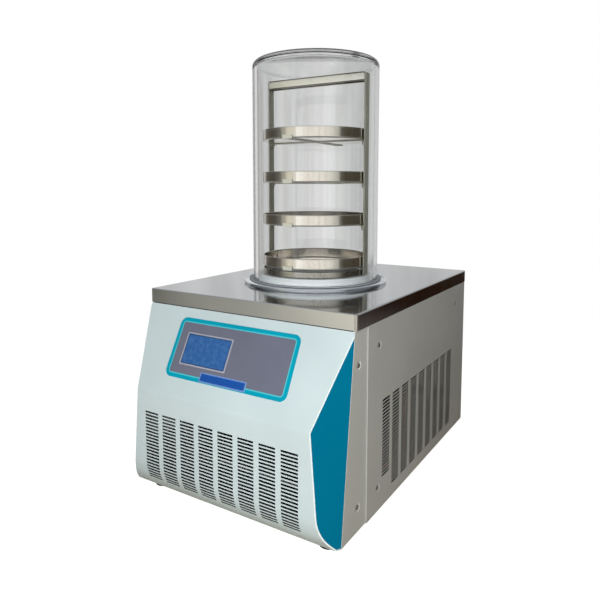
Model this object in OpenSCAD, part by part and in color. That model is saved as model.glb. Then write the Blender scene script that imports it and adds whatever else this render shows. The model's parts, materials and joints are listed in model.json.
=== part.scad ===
// Bench-top freeze dryer: sheet-metal casing with a leaning front, cold trap under a clear bell jar,
// and a rack of round trays. Millimetres, +Z up, front towards -Y, feet standing on Z = 0.

/* [Casing] */
// Width of the top plate over its folded skirt
plate_w = 440; // [420:1:470]
// Depth of the top plate over its folded skirt
plate_d = 560; // [550:1:600]
// Height of the folded skirt of the top plate
skirt_h = 26; // [22:1:34]
// Thickness of the stainless top plate
plate_t = 1.5; // [1:0.1:2]
// Height from the underside of the casing to the top plate
body_h = 355; // [350:1:380]
// How far the casing stands in from the edge of the top plate
side_inset = 3; // [2.5:0.1:4]
// Thickness of the casing sheet
sheet_t = 1.5; // [1:0.1:1.8]
// Gap left between two sheets or covers
seam = 0.3; // [0.2:0.05:0.4]

/* [Leaning front] */
// How far the front stands ahead of the top plate
nose_reach = 75.5; // [70:0.5:80]
// Lean of the upper front face from the vertical, degrees
nose_lean = 28; // [26:0.5:30]
// Thickness of the front sheet
front_t = 2; // [1.5:0.1:2.5]
// Outer radius of the fold between the leaning and the upright face
bend_r = 5; // [4:0.5:8]
// Outer radius of the curve at the bottom of the front
curve_r = 72; // [68:1:76]
// Angle of the curve at the bottom of the front, degrees
curve_sweep = 41; // [38:1:44]
// Height above the underside at which that curve starts
curve_rise = 57.5; // [55:0.5:62]
// How far the rear edge of each cheek runs forward at the bottom
cheek_run = 40.3; // [36:0.1:44]
// Inward fold of each cheek, degrees
cheek_fold = 33.3; // [30:0.1:36]
// How far the edge of the front sheet stands proud of the cheek
front_lip = 1.2; // [0.5:0.1:1.6]
// Thickness of the cheek sheet
cheek_t = 1.5; // [1:0.1:2]

/* [Front grille] */
// Slots in one row
front_cols = 8; // [4:1:8]
// Spacing of the slot columns
front_pitch_x = 41.7; // [40:0.1:43]
// Length of a slot
front_slot_l = 31; // [24:0.5:33]
// Height of a slot
front_slot_h = 3; // [2:0.1:3.4]
// Rows of slots
front_rows = 22; // [10:1:22]
// Spacing of the rows along the sheet
front_pitch_s = 5.9; // [5.6:0.05:6]
// Depth of the first row below the top plate
front_grille_top = 206.5; // [204:0.5:210]

/* [Side panels] */
// Distance of the panel's front edge behind the front edge of the top plate
seam_y = 41.8; // [40:0.1:46]
// Thickness of the side panel
panel_t = 2; // [1.5:0.1:2.5]
// Lap of the front strip behind the side panel
strip_lap = 20; // [15:1:25]
// Columns of slots
side_cols = 9; // [5:1:9]
// Spacing of the slot columns
side_pitch_y = 42.1; // [40:0.1:43]
// Length of a slot
side_slot_l = 30; // [24:0.5:33]
// Height of a slot
side_slot_h = 3; // [2:0.1:3.4]
// Rows of slots
side_rows = 28; // [10:1:28]
// Rows of slots in the first column, which ends above a screw
side_rows_short = 23; // [8:1:23]
// Spacing of the rows
side_pitch_z = 6; // [5.6:0.1:6]
// Front end of the first column
side_grille_y = 100.5; // [99:0.5:104]
// Depth of the first row below the top plate
side_grille_top = 167; // [165:0.5:172]
// Radius of the pressed dimple round a side screw
dimple_r = 9; // [8:0.5:11]
// Depth of that dimple
dimple_depth = 0.9; // [0.5:0.1:1.1]

/* [Control panel] */
// Width of the printed overlay
overlay_w = 257; // [250:1:262]
// Height of the printed overlay along the face
overlay_h = 107.5; // [105:0.5:110]
// Corner radius of the overlay
overlay_r = 13; // [10:0.5:16]
// Thickness of the overlay
overlay_t = 1; // [0.6:0.1:1.5]
// Distance of the overlay below the skirt, along the face
overlay_drop = 19.5; // [18:0.5:21]
// Width of the display over its frame
display_w = 102.5; // [98:0.5:106]
// Height of the display over its frame
display_h = 58; // [54:0.5:60]
// Width of the display frame
display_edge = 2.5; // [2:0.1:3.5]
// Left edge of the display, measured left from the centre line
display_left = 103.5; // [102:0.5:106]
// Distance of the display below the skirt, along the face
display_drop = 45; // [43:0.5:47]
// Width of the blue label plate
label_w = 98; // [90:1:104]
// Height of the blue label plate
label_h = 16.5; // [13:0.5:17]
// Thickness of the blue label plate
label_t = 0.6; // [0.4:0.1:1]
// Distance of the label plate below the skirt, along the face
label_drop = 109; // [107:0.5:110]

/* [Feet and fasteners] */
// Height of a rubber foot
foot_h = 17; // [14:1:22]
// Radius of a foot where it meets the casing
foot_r = 18; // [16:0.5:20]
// Radius of a foot where it meets the table
foot_tip_r = 16; // [14:0.5:17]
// Distance of the feet in from the side of the casing
foot_inset = 36; // [33:1:47]
// Distance of the front feet ahead of the front edge of the top plate
foot_ahead = 15; // [12:1:17]
// Distance of the rear feet behind the front edge of the top plate
foot_rear_y = 520; // [500:1:525]
// Radius of a foot screw
foot_screw_r = 3; // [2.5:0.5:4]
// Radius of a casing screw
screw_r = 2; // [1.5:0.1:2.2]
// Radius of a casing screw's head
screw_head_r = 4; // [3.5:0.1:4.5]
// Height of a casing screw's head
screw_head_h = 1.8; // [1.5:0.1:2.4]
// Length of a casing screw under its head
screw_l = 8; // [7:0.5:10]

/* [Bell jar] */
// Outer diameter of the jar
jar_d = 254; // [250:1:258]
// Thickness of the jar's wall
jar_wall = 8.7; // [7:0.1:9]
// Height of the jar
jar_h = 439; // [434:0.5:452]
// Thickness of the jar's top at its edge
jar_top_t = 12; // [11:0.5:14]
// Outer radius of the jar's shoulder
jar_shoulder_r = 13; // [11:0.5:20]
// Rise of the domed top above its shoulder
jar_dome = 5; // [3:0.5:7]
// Distance of the jar's axis behind the front edge of the top plate
jar_y = 245; // [242:1:248]

/* [Mouth of the cold trap] */
// Radius of the bead of the seal flange, at its middle
bead_r = 144.5; // [142:0.5:148]
// Radius of the bead's section
bead_wire_r = 1.8; // [1.4:0.1:2.4]
// Thickness of the seal flange
flange_t = 1.5; // [1:0.1:2]
// Lift of the seal flange's rim above the top plate
flange_lift = 5.5; // [4:0.5:7]
// Thickness of the jar's gasket
gasket_t = 1.3; // [1:0.1:2]
// Height of the trap collar above the top plate
collar_h = 19.5; // [17:0.5:22]
// Height of the collar's upright side
collar_side_h = 12.4; // [10:0.2:14]
// Radius at which the collar's slope meets its flat top
collar_top_r = 111; // [110:0.5:112]
// Gap between the jar and the collar
jar_gap = 0.8; // [0.5:0.1:1]
// Radius of the hole in the top plate
mouth_r = 112; // [110:0.5:113]

/* [Rack and trays] */
// Number of trays
trays = 4; // [4:1:4]
// Outer diameter of a tray
tray_d = 213; // [206:1:213]
// Height of a tray
tray_h = 21.5; // [18:0.5:24]
// Thickness of a tray's sheet
tray_t = 1; // [0.8:0.1:1.5]
// Height of the lowest tray's underside above the top plate
tray_base = 36; // [36:0.5:38]
// Spacing of the trays
tray_pitch = 82.6; // [80:0.1:84]
// Thickness of the rack's strips
strip_t = 1.5; // [1.2:0.1:2]
// Width of the strips under a tray
arm_w = 12; // [10:0.5:14]
// Width of the upturned tab at the end of a strip
tab_w = 20; // [16:0.5:24]
// Height of that tab above the strip
tab_h = 8; // [6:0.5:9]
// Room between the rack's top and the inside of the jar's top
rack_headroom = 20.5; // [16:0.5:26]
// Depth of an upright of the rack, front to back
upright_d = 18; // [14:0.5:20]
// Thickness of an upright
upright_t = 3; // [2.5:0.5:4.5]
// Distance of an upright's inner face from the axis
upright_x = 108; // [107.5:0.5:109.5]
// Turn of the rack about the jar's axis, seen from above, in degrees
rack_turn = 2; // [0:1:8]
// Height of the rack's crossbar
crossbar_h = 14; // [12:0.5:16]
// Height of the rack's base ring
hoop_h = 10; // [8:0.5:10]

/* [Cold trap] */
// Inner radius of the trap vessel
vessel_r = 98; // [96:0.5:99]
// Wall of the trap vessel
vessel_t = 1.2; // [1:0.1:1.5]
// Height of the trap vessel's floor above the underside of the casing
trap_rise = 195; // [190:1:200]
// Outer radius of the foam round the trap
foam_r = 150; // [146:1:152]
// Depth of the foam below the vessel
foam_base = 34; // [28:1:36]
// Radius of the refrigerant tube wound round the vessel
coil_tube_r = 4; // [3.5:0.1:4]
// Turns of that tube
coil_turns = 6; // [4:1:6]
// Spacing of its turns
coil_pitch = 11.5; // [10:0.5:12]
// Bore radius of the vacuum port
port_r = 12.5; // [12:0.1:12.6]
// Wall of the vacuum pipe
port_wall = 1.5; // [1.2:0.1:1.6]
// Depth of the vacuum pipe's axis below the top plate
port_drop = 62; // [60:0.5:63]
// Radius of the vacuum port's flange
port_flange_r = 20; // [19:0.5:22]
// Height of the drain's axis above the underside of the casing
drain_rise = 40; // [36:1:48]
// Outer radius of the drain nozzle
nozzle_r = 5; // [4.5:0.1:5.5]
// Length of the drain nozzle
nozzle_l = 14; // [12:1:16]
// How far the rear ports stand behind the top plate
port_reach = 36; // [36:1:44]

/* [Refrigeration] */
// Radius of the compressor's shell
compressor_r = 72; // [68:1:74]
// Height of the compressor's shell
compressor_h = 165; // [150:1:175]
// Distance of the compressor's axis in from the side of the casing
compressor_inset = 109; // [105:1:111]
// Distance of the compressor behind the front edge of the top plate
compressor_y = 457; // [455:1:462]
// Width of the condenser
condenser_w = 270; // [250:1:276]
// Height of the condenser
condenser_h = 210; // [190:1:214]
// Depth of the condenser, front to back
condenser_d = 44; // [40:1:46]
// Distance of the condenser behind the front edge of the top plate
condenser_y = 2; // [0:0.5:4]
// Radius of the condenser's tubes
condenser_tube_r = 4.8; // [4:0.1:5]
// Radius of the condenser fan's blades
fan_r = 86; // [80:0.5:88]
// Number of fan blades
fan_blade_count = 5; // [3:1:6]
// Radius of the fan's shaft
fan_shaft_r = 3; // [2.5:0.5:3.5]
// Clearance of a shaft in its bearing
running_gap = 0.06; // [0.02:0.01:0.1]
// Radius of the fan motor
fan_motor_r = 30; // [26:1:32]
// Radius of the copper refrigerant lines
line_r = 4; // [3:0.5:4.5]

/* [Rear fittings] */
// Width of the power inlet's flange
inlet_w = 50; // [48:1:54]
// Height of the power inlet's flange
inlet_h = 28; // [26:1:32]
// Width of the rocker
rocker_w = 18; // [16:0.5:20]
// Height of the rocker
rocker_h = 24; // [22:0.5:26]
// Travel of the rocker, degrees
rocker_travel = 16; // [12:1:18]

/* [Hidden] */
$fn = 96;
far = 700;

// Frame of the casing: the origin of the object is under the middle of its overall depth
overall_d = nose_reach + plate_d + port_reach;
front_y = nose_reach - overall_d / 2;
top_z = foot_h + body_h;
half_w = plate_w / 2 - side_inset;
back_y = plate_d - side_inset;
foot_x = half_w - foot_inset;
under_skirt = -skirt_h - seam;
under_plate = -plate_t - seam;

module on_plate() translate([0, front_y, top_z]) children();
module on_axis() translate([0, front_y + jar_y, top_z]) children();
module on_pan() translate([0, front_y, foot_h + sheet_t]) children();
module on_side(side) mirror([side < 0 ? 1 : 0, 0, 0]) children();

// Extrudes an outline drawn in the Y-Z plane along X, between two values of X
module along_x(x0, x1) translate([x0, 0, 0]) rotate([90, 0, 90]) linear_extrude(x1 - x0) children();
// Turns a solid of revolution drawn on Z so that it points backwards, along +Y
module backwards() rotate([-90, 0, 0]) children();
module ring(r_out, r_in, h) {
    difference() {
        cylinder(r = r_out, h = h);
        translate([0, 0, -1]) cylinder(r = r_in, h = h + 2);
    }
}
module box_between(low, high) translate(low) cube(high - low);
module rounded_rect(w, h, r) {
    square([w, h - 2 * r], center = true);
    square([w - 2 * r, h], center = true);
    for (x = [-1, 1], y = [-1, 1]) translate([x * (w / 2 - r), y * (h / 2 - r)]) circle(r);
}
// A slot outline with rounded ends, starting at the origin
module slot(l, h) {
    steps = 3;
    polygon([
        for (i = [0:steps]) [l - h / 2 + h / 2 * sin(180 * i / steps), h / 2 * cos(180 * i / steps)],
        for (i = [0:steps]) [h / 2 - h / 2 * sin(180 * i / steps), -h / 2 * cos(180 * i / steps)]
    ]);
}

// ---- Bent tubes: a ring of points carried along a rounded route ----
function unit(v) = v / norm(v);
function arc_point(p, a, b, s) = (1 - s) * (1 - s) * (p + a) + 2 * s * (1 - s) * p + s * s * (p + b);
function rounded_route(pts, r, steps = 5) = [
    pts[0],
    for (i = [1:len(pts) - 2])
        let (back = unit(pts[i - 1] - pts[i]) * r, on = unit(pts[i + 1] - pts[i]) * r)
            for (s = [0:steps]) arc_point(pts[i], back, on, s / steps),
    pts[len(pts) - 1]
];
function tangent(p, i) = unit(p[min(i + 1, len(p) - 1)] - p[max(i - 1, 0)]);
function across(v, t) = unit(v - (v * t) * t);
function normals(p, first) = [
    for (i = 0, v = across(first, tangent(p, 0)); i < len(p);
        v = across(v, tangent(p, min(i + 1, len(p) - 1))), i = i + 1) v
];
module tube_along(route, r, sides = 10, first = [0.3, 0.5, 0.8]) {
    count = len(route);
    side_axis = normals(route, first);
    points = [
        for (i = [0:count - 1], k = [0:sides - 1])
            let (t = tangent(route, i), n = side_axis[i], b = cross(t, n))
                route[i] + r * cos(360 * k / sides) * n + r * sin(360 * k / sides) * b
    ];
    walls = [
        for (i = [0:count - 2], k = [0:sides - 1])
            let (a = i * sides, b = a + sides, on = (k + 1) % sides) [a + k, b + k, b + on, a + on]
    ];
    first_cap = [for (k = [0:sides - 1]) k];
    last_cap = [for (k = [sides - 1:-1:0]) (count - 1) * sides + k];
    polyhedron(points, concat(walls, [first_cap, last_cap]), convexity = 10);
}

// ---- Outline of the leaning front, at a depth t inside its outer face ----
bend_c = [-nose_reach + bend_r, -skirt_h - (bend_r / cos(nose_lean) + nose_reach - bend_r) / tan(nose_lean)];
curve_c = [-nose_reach + curve_r, curve_rise - body_h];
curve_steps = 10;
front_flange_end = -38;
joggle_y = plate_t + seam;
function face_y(t, z) = t / cos(nose_lean) + (z + skirt_h) * tan(nose_lean);
function bend_arc(t) = [
    for (i = [0:4]) let (a = 180 - nose_lean * (1 - i / 4)) bend_c + (bend_r - t) * [cos(a), sin(a)]
];
function curve_arc(t) = [
    for (i = [0:curve_steps])
        let (a = 180 + curve_sweep * i / curve_steps) curve_c + (curve_r - t) * [cos(a), sin(a)]
];
function curve_end(t) = curve_c - (curve_r - t) * [cos(curve_sweep), sin(curve_sweep)];
function bottom_point(t) = [curve_end(t)[0] + (curve_end(t)[1] + body_h - t) * tan(curve_sweep), t - body_h];
function face_run(t) = concat(bend_arc(t), curve_arc(t), [bottom_point(t)]);
function reversed(v) = [for (i = [len(v) - 1:-1:0]) v[i]];
function cheek_edge_y(z) = cheek_run * (z + skirt_h) / (body_h - skirt_h);
cheek_slant = atan(cheek_run / (body_h - skirt_h));

// Half space on the inner side of a cheek's outer plane, moved outwards by "proud"
module inside_cheek(side, proud, thick = far) {
    on_side(side)
        translate([half_w, 0, -skirt_h])
            rotate([-cheek_slant, 0, 0])
                rotate([0, 0, -cheek_fold])
                    translate([proud - thick, -far, -far]) cube([thick, 2 * far, 2 * far]);
}

// Frame of the leaning face: +X to the right, +Y up the face, +Z out of it
module on_face() on_plate() translate([0, 0, -skirt_h]) rotate([90 - nose_lean, 0, 0]) children();

// Board posts behind the leaning face, and the board's place
board_w = overlay_w - 32;
board_h = overlay_h - 20.5;
board_t = 1.6;
board_gap = 11;
board_mid = -(overlay_drop + overlay_h / 2);
post_r = 3;
post_inset = 6;
window_edge = 6;
display_mid = [-display_left + display_w / 2, -display_drop - display_h / 2];
module at_board_posts() {
    for (x = [-1, 1], y = [-1, 1])
        translate([x * (board_w / 2 - post_inset), board_mid + y * (board_h / 2 - post_inset)]) children();
}

module front_slots() {
    for (row = [0:front_rows - 1]) {
        s = row * front_pitch_s;
        past = s - (body_h - curve_rise - front_grille_top);
        turn = past > 0 ? past / curve_r * 180 / PI : 0;
        place = past > 0 ? curve_c - curve_r * [cos(turn), sin(turn)] : [-nose_reach, -front_grille_top - s];
        for (col = [0:front_cols - 1])
            translate([(col - (front_cols - 1) / 2) * front_pitch_x, place[0], place[1]])
                rotate([turn, 0, 0])
                    translate([-front_slot_l / 2, -front_t, -front_slot_h / 2])
                        cube([front_slot_l, 3 * front_t, front_slot_h]);
    }
}

module front_panel() {
    top_outer = [[joggle_y, under_plate], [joggle_y, under_skirt], [face_y(0, under_skirt), under_skirt]];
    inner_y = joggle_y + front_t;
    fold_z = (inner_y - face_y(front_t, -skirt_h)) / tan(nose_lean) - skirt_h;
    top_inner = [[inner_y, under_plate], [inner_y, fold_z]];
    flange = [[front_flange_end, -body_h], [front_flange_end, front_t - body_h]];
    outline = concat(top_outer, face_run(0), flange, reversed(face_run(front_t)), reversed(top_inner));
    color([0.82, 0.87, 0.88]) {
        on_plate() difference() {
            intersection() {
                along_x(-half_w, half_w) polygon(outline);
                inside_cheek(1, front_lip);
                inside_cheek(-1, front_lip);
            }
            front_slots();
            display_window();
            for (side = [-1, 1]) on_side(side) along_x(pan_half, half_w + 1)
                polygon([[cheek_edge_y(0) - seam, 0], [-cheek_run - seam, -body_h],
                    [far, -body_h], [far, 0]]);
        }
        on_face() at_board_posts() translate([0, 0, -front_t - board_gap])
            cylinder(r = post_r, h = board_gap + front_t / 4, $fn = 24);
    }
}
module display_window() {
    translate([0, 0, -skirt_h]) rotate([90 - nose_lean, 0, 0])
        translate([display_mid[0], display_mid[1], -2 * front_t])
            linear_extrude(3 * front_t)
                square([display_w - 2 * window_edge, display_h - 2 * window_edge], center = true);
}

module cheek(side) {
    gap = front_t + seam;
    drop = (gap / cos(nose_lean) + seam) / (tan(nose_lean) - cheek_run / (body_h - skirt_h));
    apex_z = -skirt_h - drop;
    outline = concat([[cheek_edge_y(apex_z) - seam, apex_z]], face_run(gap),
        [[cheek_edge_y(-body_h + gap) - seam, -body_h + gap]]);
    color([0.0, 0.47, 0.6]) on_plate() intersection() {
        along_x(-half_w - 1, half_w + 1) polygon(outline);
        inside_cheek(side, 0, cheek_t);
    }
}

low_screw_z = 41 - body_h;
strip_screws = [[13, -83], [13, low_screw_z]];
panel_screws = [for (y = [84.5, back_y - 60], z = [-67, low_screw_z]) [y, z]];
hole_r = screw_r + seam;
module screw_holes(places) for (p = places) translate(p) circle(hole_r, $fn = 32);
// A round hole through a sheet near the origin, along Z
module hole_through(r) translate([0, 0, -2 * sheet_t]) cylinder(r = r, h = 4 * sheet_t, $fn = 48);
module sideways() rotate([0, 90, 0]) children();

module side_strip(side) {
    back = seam_y + strip_lap;
    step = joggle_y + front_t + seam;
    outline = [[cheek_edge_y(under_skirt), under_skirt], [-cheek_run, -body_h], [back, -body_h],
        [back, under_plate], [step, under_plate], [step, under_skirt]];
    color([0.75, 0.75, 0.72]) on_plate() on_side(side) along_x(half_w - sheet_t, half_w) difference() {
        polygon(outline);
        screw_holes(strip_screws);
    }
}

panel_in = half_w + seam;
panel_out = panel_in + panel_t;
module side_panel(side) {
    color([0.78, 0.78, 0.75]) on_plate() on_side(side) difference() {
        along_x(panel_in, panel_out) difference() {
            translate([seam_y, seam - body_h]) square([back_y - seam_y, body_h + under_skirt - seam]);
            screw_holes(panel_screws);
            for (col = [0:side_cols - 1], row = [0:(col == 0 ? side_rows_short : side_rows) - 1])
                translate([side_grille_y + col * side_pitch_y, -side_grille_top - row * side_pitch_z])
                    slot(side_slot_l, side_slot_h);
        }
        for (p = panel_screws)
            translate([panel_out - dimple_depth, p[0], p[1]]) sideways()
                cylinder(r1 = dimple_r - 3, r2 = dimple_r, h = dimple_depth + 0.01);
    }
}

rail_leg = 80;
rail_flange = 15;
module top_rail(side) {
    y0 = seam_y + strip_lap + seam;
    y1 = back_y - sheet_t - seam;
    color([0.7, 0.7, 0.68]) on_plate() on_side(side) {
        difference() {
            box_between([half_w - sheet_t, y0, under_plate - rail_leg], [half_w, y1, under_plate]);
            for (p = panel_screws) if (p[1] > -rail_leg)
                translate([half_w, p[0], p[1]]) sideways() hole_through(hole_r);
        }
        box_between([half_w - rail_flange, y0, under_plate - sheet_t],
            [half_w - sheet_t + 0.01, y1, under_plate]);
    }
}

pan_wall = 60;
pan_half = half_w - sheet_t - seam;
pan_front = front_flange_end + seam;
pan_wall_front = -foot_ahead;
pan_back = back_y - sheet_t - seam;
module at_feet() {
    for (x = [-1, 1], y = [-foot_ahead, foot_rear_y]) translate([x * foot_x, y, 0]) children();
}
module base_pan() {
    color([0.7, 0.7, 0.68]) on_plate() translate([0, 0, -body_h]) difference() {
        union() {
            box_between([-pan_half, pan_front, 0], [pan_half, pan_back, sheet_t]);
            for (side = [-1, 1]) on_side(side)
                box_between([pan_half - sheet_t, pan_wall_front, 0], [pan_half, pan_back, pan_wall]);
            box_between([-pan_half, pan_back - sheet_t, 0], [pan_half, pan_back, pan_wall / 3]);
        }
        at_feet() hole_through(foot_screw_r + seam);
        for (side = [-1, 1], p = concat(panel_screws, strip_screws)) if (p[1] < pan_wall - body_h)
            translate([side * pan_half, p[0], p[1] + body_h]) sideways() hole_through(hole_r);
    }
}

// ---- Feet and fasteners ----
foot_pocket = foot_h / 2 + 0.5;
bolt_head_h = 1.2 * foot_screw_r;
nut_h = 1.7 * foot_screw_r;
module foot(x, y) {
    color([0.06, 0.06, 0.07]) translate([x * foot_x, front_y + y, 0]) difference() {
        cylinder(r1 = foot_tip_r, r2 = foot_r, h = foot_h - 0.05);
        translate([0, 0, -1]) cylinder(r = 2.2 * foot_screw_r, h = foot_pocket + 1, $fn = 48);
        translate([0, 0, -1]) cylinder(r = foot_screw_r + seam, h = foot_h + 2, $fn = 32);
    }
}
module foot_screws() {
    nut_z = foot_h + sheet_t + 0.1;
    color([0.7, 0.7, 0.72]) translate([0, front_y, 0]) at_feet() {
        translate([0, 0, foot_pocket - bolt_head_h - 0.1])
            cylinder(r = 1.8 * foot_screw_r, h = bolt_head_h, $fn = 48);
        translate([0, 0, foot_pocket - 0.2])
            cylinder(r = foot_screw_r, h = nut_z + nut_h + foot_screw_r - foot_pocket, $fn = 32);
        translate([0, 0, nut_z]) difference() {
            cylinder(r = 1.9 * foot_screw_r, h = nut_h, $fn = 6);
            translate([0, 0, -1]) cylinder(r = foot_screw_r + 0.05, h = nut_h + 2, $fn = 32);
        }
    }
}

rear_screw_x = half_w - 17;
rear_screws = [for (x = [-1, 1], z = [-60, -180, -body_h + 55]) [x * rear_screw_x, z]];
// A pan-head screw pointing along -Z, with its head's underside on Z = 0
module screw() {
    cylinder(r = screw_r, h = screw_l, $fn = 24);
    translate([0, 0, -screw_head_h]) rotate_extrude($fn = 48) polygon([[0, 0], [screw_head_r - 1, 0],
        [screw_head_r, 0.6], [screw_head_r, screw_head_h], [0, screw_head_h]]);
}
module casing_screws() {
    color([0.75, 0.75, 0.76]) on_plate() {
        for (side = [-1, 1]) on_side(side) {
            for (p = strip_screws) translate([half_w + 0.1, p[0], p[1]]) rotate([0, -90, 0]) screw();
            for (p = panel_screws)
                translate([panel_out - dimple_depth + 0.1, p[0], p[1]]) rotate([0, -90, 0]) screw();
        }
        for (p = rear_screws) translate([p[0], back_y + 0.1, p[1]]) rotate([90, 0, 0]) screw();
    }
}

// ---- Top plate and rear panel ----
module top_plate() {
    color([0.72, 0.73, 0.74]) on_plate() difference() {
        box_between([-plate_w / 2, 0, -skirt_h], [plate_w / 2, plate_d, 0]);
        box_between([plate_t - plate_w / 2, plate_t, -skirt_h - 1],
            [plate_w / 2 - plate_t, plate_d - plate_t, -plate_t]);
        translate([0, jar_y, -plate_t - 1]) cylinder(r = mouth_r, h = plate_t + 2, $fn = 128);
    }
}

rear_flange = 18;
rear_cols = 5;
rear_rows = 12;
rear_slot = [38, 4];
rear_pitch = [48, 9];
rear_grille_start = [47 - half_w, -120];
socket_z = 55 - body_h;
inlet_place = [half_w - 97, socket_z];
outlet_place = [half_w - 157, socket_z];
switch_place = [half_w - 52, socket_z];
socket_edge = [9, 3];
module rear_panel() {
    color([0.75, 0.75, 0.72]) on_plate() difference() {
        union() {
            box_between([-pan_half, back_y - sheet_t, -body_h], [pan_half, back_y, under_plate]);
            for (side = [-1, 1]) on_side(side)
                box_between([pan_half - sheet_t, back_y - rear_flange, pan_wall - body_h + seam],
                    [pan_half, back_y - sheet_t + 0.01, under_plate - rail_leg - seam]);
        }
        translate([0, back_y, -port_drop]) backwards() hole_through(port_r + port_wall + seam);
        translate([0, back_y, drain_z]) backwards() hole_through(drain_r + seam);
        rear_window(inlet_place, [inlet_w, inlet_h] - 2 * socket_edge);
        rear_window(outlet_place, [inlet_w, inlet_h] - 2 * socket_edge);
        rear_window(switch_place, [rocker_w + 6, rocker_h + 6]);
        for (p = rear_screws) translate([p[0], back_y, p[1]]) backwards() hole_through(hole_r);
        for (col = [0:rear_cols - 1], row = [0:rear_rows - 1])
            translate([rear_grille_start[0] + col * rear_pitch[0], back_y - 2 * sheet_t,
                rear_grille_start[1] - row * rear_pitch[1]])
                cube([rear_slot[0], 4 * sheet_t, rear_slot[1]]);
    }
}
module rear_window(place, size) {
    translate([place[0] - size[0] / 2, back_y - 2 * sheet_t, place[1] - size[1] / 2])
        cube([size[0], 4 * sheet_t, size[1]]);
}

// ---- Control panel ----
face_gap = 0.1;
module panel_overlay() {
    color([0.44, 0.45, 0.52]) on_face() translate([0, board_mid, face_gap])
        linear_extrude(overlay_t) difference() {
            rounded_rect(overlay_w, overlay_h, overlay_r);
            translate(display_mid - [0, board_mid])
                square([display_w + 0.2, display_h + 0.2], center = true);
        }
}
module display_frame() {
    color([0.69, 0.69, 0.73]) on_face() translate([display_mid[0], display_mid[1], face_gap])
        linear_extrude(overlay_t + 0.4) difference() {
            square([display_w, display_h], center = true);
            square([display_w - 2 * display_edge, display_h - 2 * display_edge], center = true);
        }
}
module display_screen() {
    screen_gap = 2 * display_edge + 0.2;
    color([0.22, 0.38, 0.6]) on_face() translate([display_mid[0], display_mid[1], face_gap])
        linear_extrude(overlay_t) square([display_w - screen_gap, display_h - screen_gap], center = true);
}
module label_plate() {
    color([0.08, 0.25, 0.67]) on_face() translate([0, -label_drop - label_h / 2, 2 * face_gap + overlay_t])
        linear_extrude(label_t) rounded_rect(label_w, label_h, 1.5);
}
module controller_board() {
    board_top = -front_t - board_gap - face_gap;
    color([0.1, 0.35, 0.2]) on_face() {
        translate([0, board_mid, board_top - board_t])
            linear_extrude(board_t) square([board_w, board_h], center = true);
        translate([display_mid[0], display_mid[1], board_top - 0.01]) linear_extrude(board_gap + front_t)
            square([display_w - 2 * window_edge - 4, display_h - 2 * window_edge - 4], center = true);
    }
}

// ---- Mouth of the trap, jar, rack and trays ----
jar_r = jar_d / 2;
jar_in_r = jar_r - jar_wall;
collar_r = jar_in_r - jar_gap;
seat_in_r = collar_r + seam;
gasket_inset = 7;
gasket_out_r = bead_r - bead_wire_r - gasket_inset;
flange_z = 0.1;
rim_z = flange_z + flange_lift;
gasket_z = rim_z + flange_t + 0.1;
jar_z = gasket_z + gasket_t;
jar_ceiling = jar_z + jar_h - jar_dome - jar_top_t;
rack_h = jar_ceiling - rack_headroom;
module seal_flange() {
    color([0.9, 0.91, 0.93]) on_axis() rotate_extrude($fn = 160) {
        translate([seat_in_r, flange_z])
            square([gasket_out_r - bead_wire_r - seat_in_r, flange_lift + flange_t]);
        translate([seat_in_r, rim_z]) square([bead_r - seat_in_r, flange_t]);
        translate([bead_r, rim_z + bead_wire_r]) circle(bead_wire_r, $fn = 32);
    }
}
module jar_gasket() {
    color([0.45, 0.46, 0.48]) on_axis() translate([0, 0, gasket_z])
        ring(gasket_out_r, seat_in_r + 0.5, gasket_t);
}
module trap_collar() {
    color([0.88, 0.93, 0.94]) on_axis() rotate_extrude($fn = 160) polygon([[vessel_r, under_plate + 0.2],
        [mouth_r - seam, under_plate + 0.2], [mouth_r - seam, flange_z], [collar_r, flange_z],
        [collar_r, collar_side_h], [collar_top_r, collar_h], [vessel_r, collar_h]]);
}

function circle_arc(c, r, a0, a1, steps) = [
    for (i = [0:steps]) let (a = a0 + (a1 - a0) * i / steps) c + r * [cos(a), sin(a)]
];
function dome(r0, z0, rise, steps) = [
    for (i = [1:steps]) let (x = r0 * (1 - i / steps)) [x, z0 + rise * (1 - pow(x / r0, 2))]
];
module bell_jar() {
    shoulder = jar_ceiling + jar_top_t;
    in_r = jar_shoulder_r - jar_wall;
    foot_chamfer = 0.8;
    turn = 84;
    outer = concat([[jar_in_r, jar_z], [jar_r - foot_chamfer, jar_z], [jar_r, jar_z + foot_chamfer]],
        circle_arc([jar_r - jar_shoulder_r, shoulder - jar_shoulder_r], jar_shoulder_r, 0, turn, 8),
        dome(jar_r - jar_shoulder_r, shoulder, jar_dome, 6));
    inner = concat(circle_arc([jar_in_r - in_r, jar_ceiling - in_r], in_r, 0, turn, 6),
        dome(jar_in_r - in_r, jar_ceiling, 0.6 * jar_dome, 6));
    color([0.85, 0.9, 0.92, 0.3]) on_axis()
        rotate_extrude($fn = 160) polygon(concat(outer, reversed(inner)));
}

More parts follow.
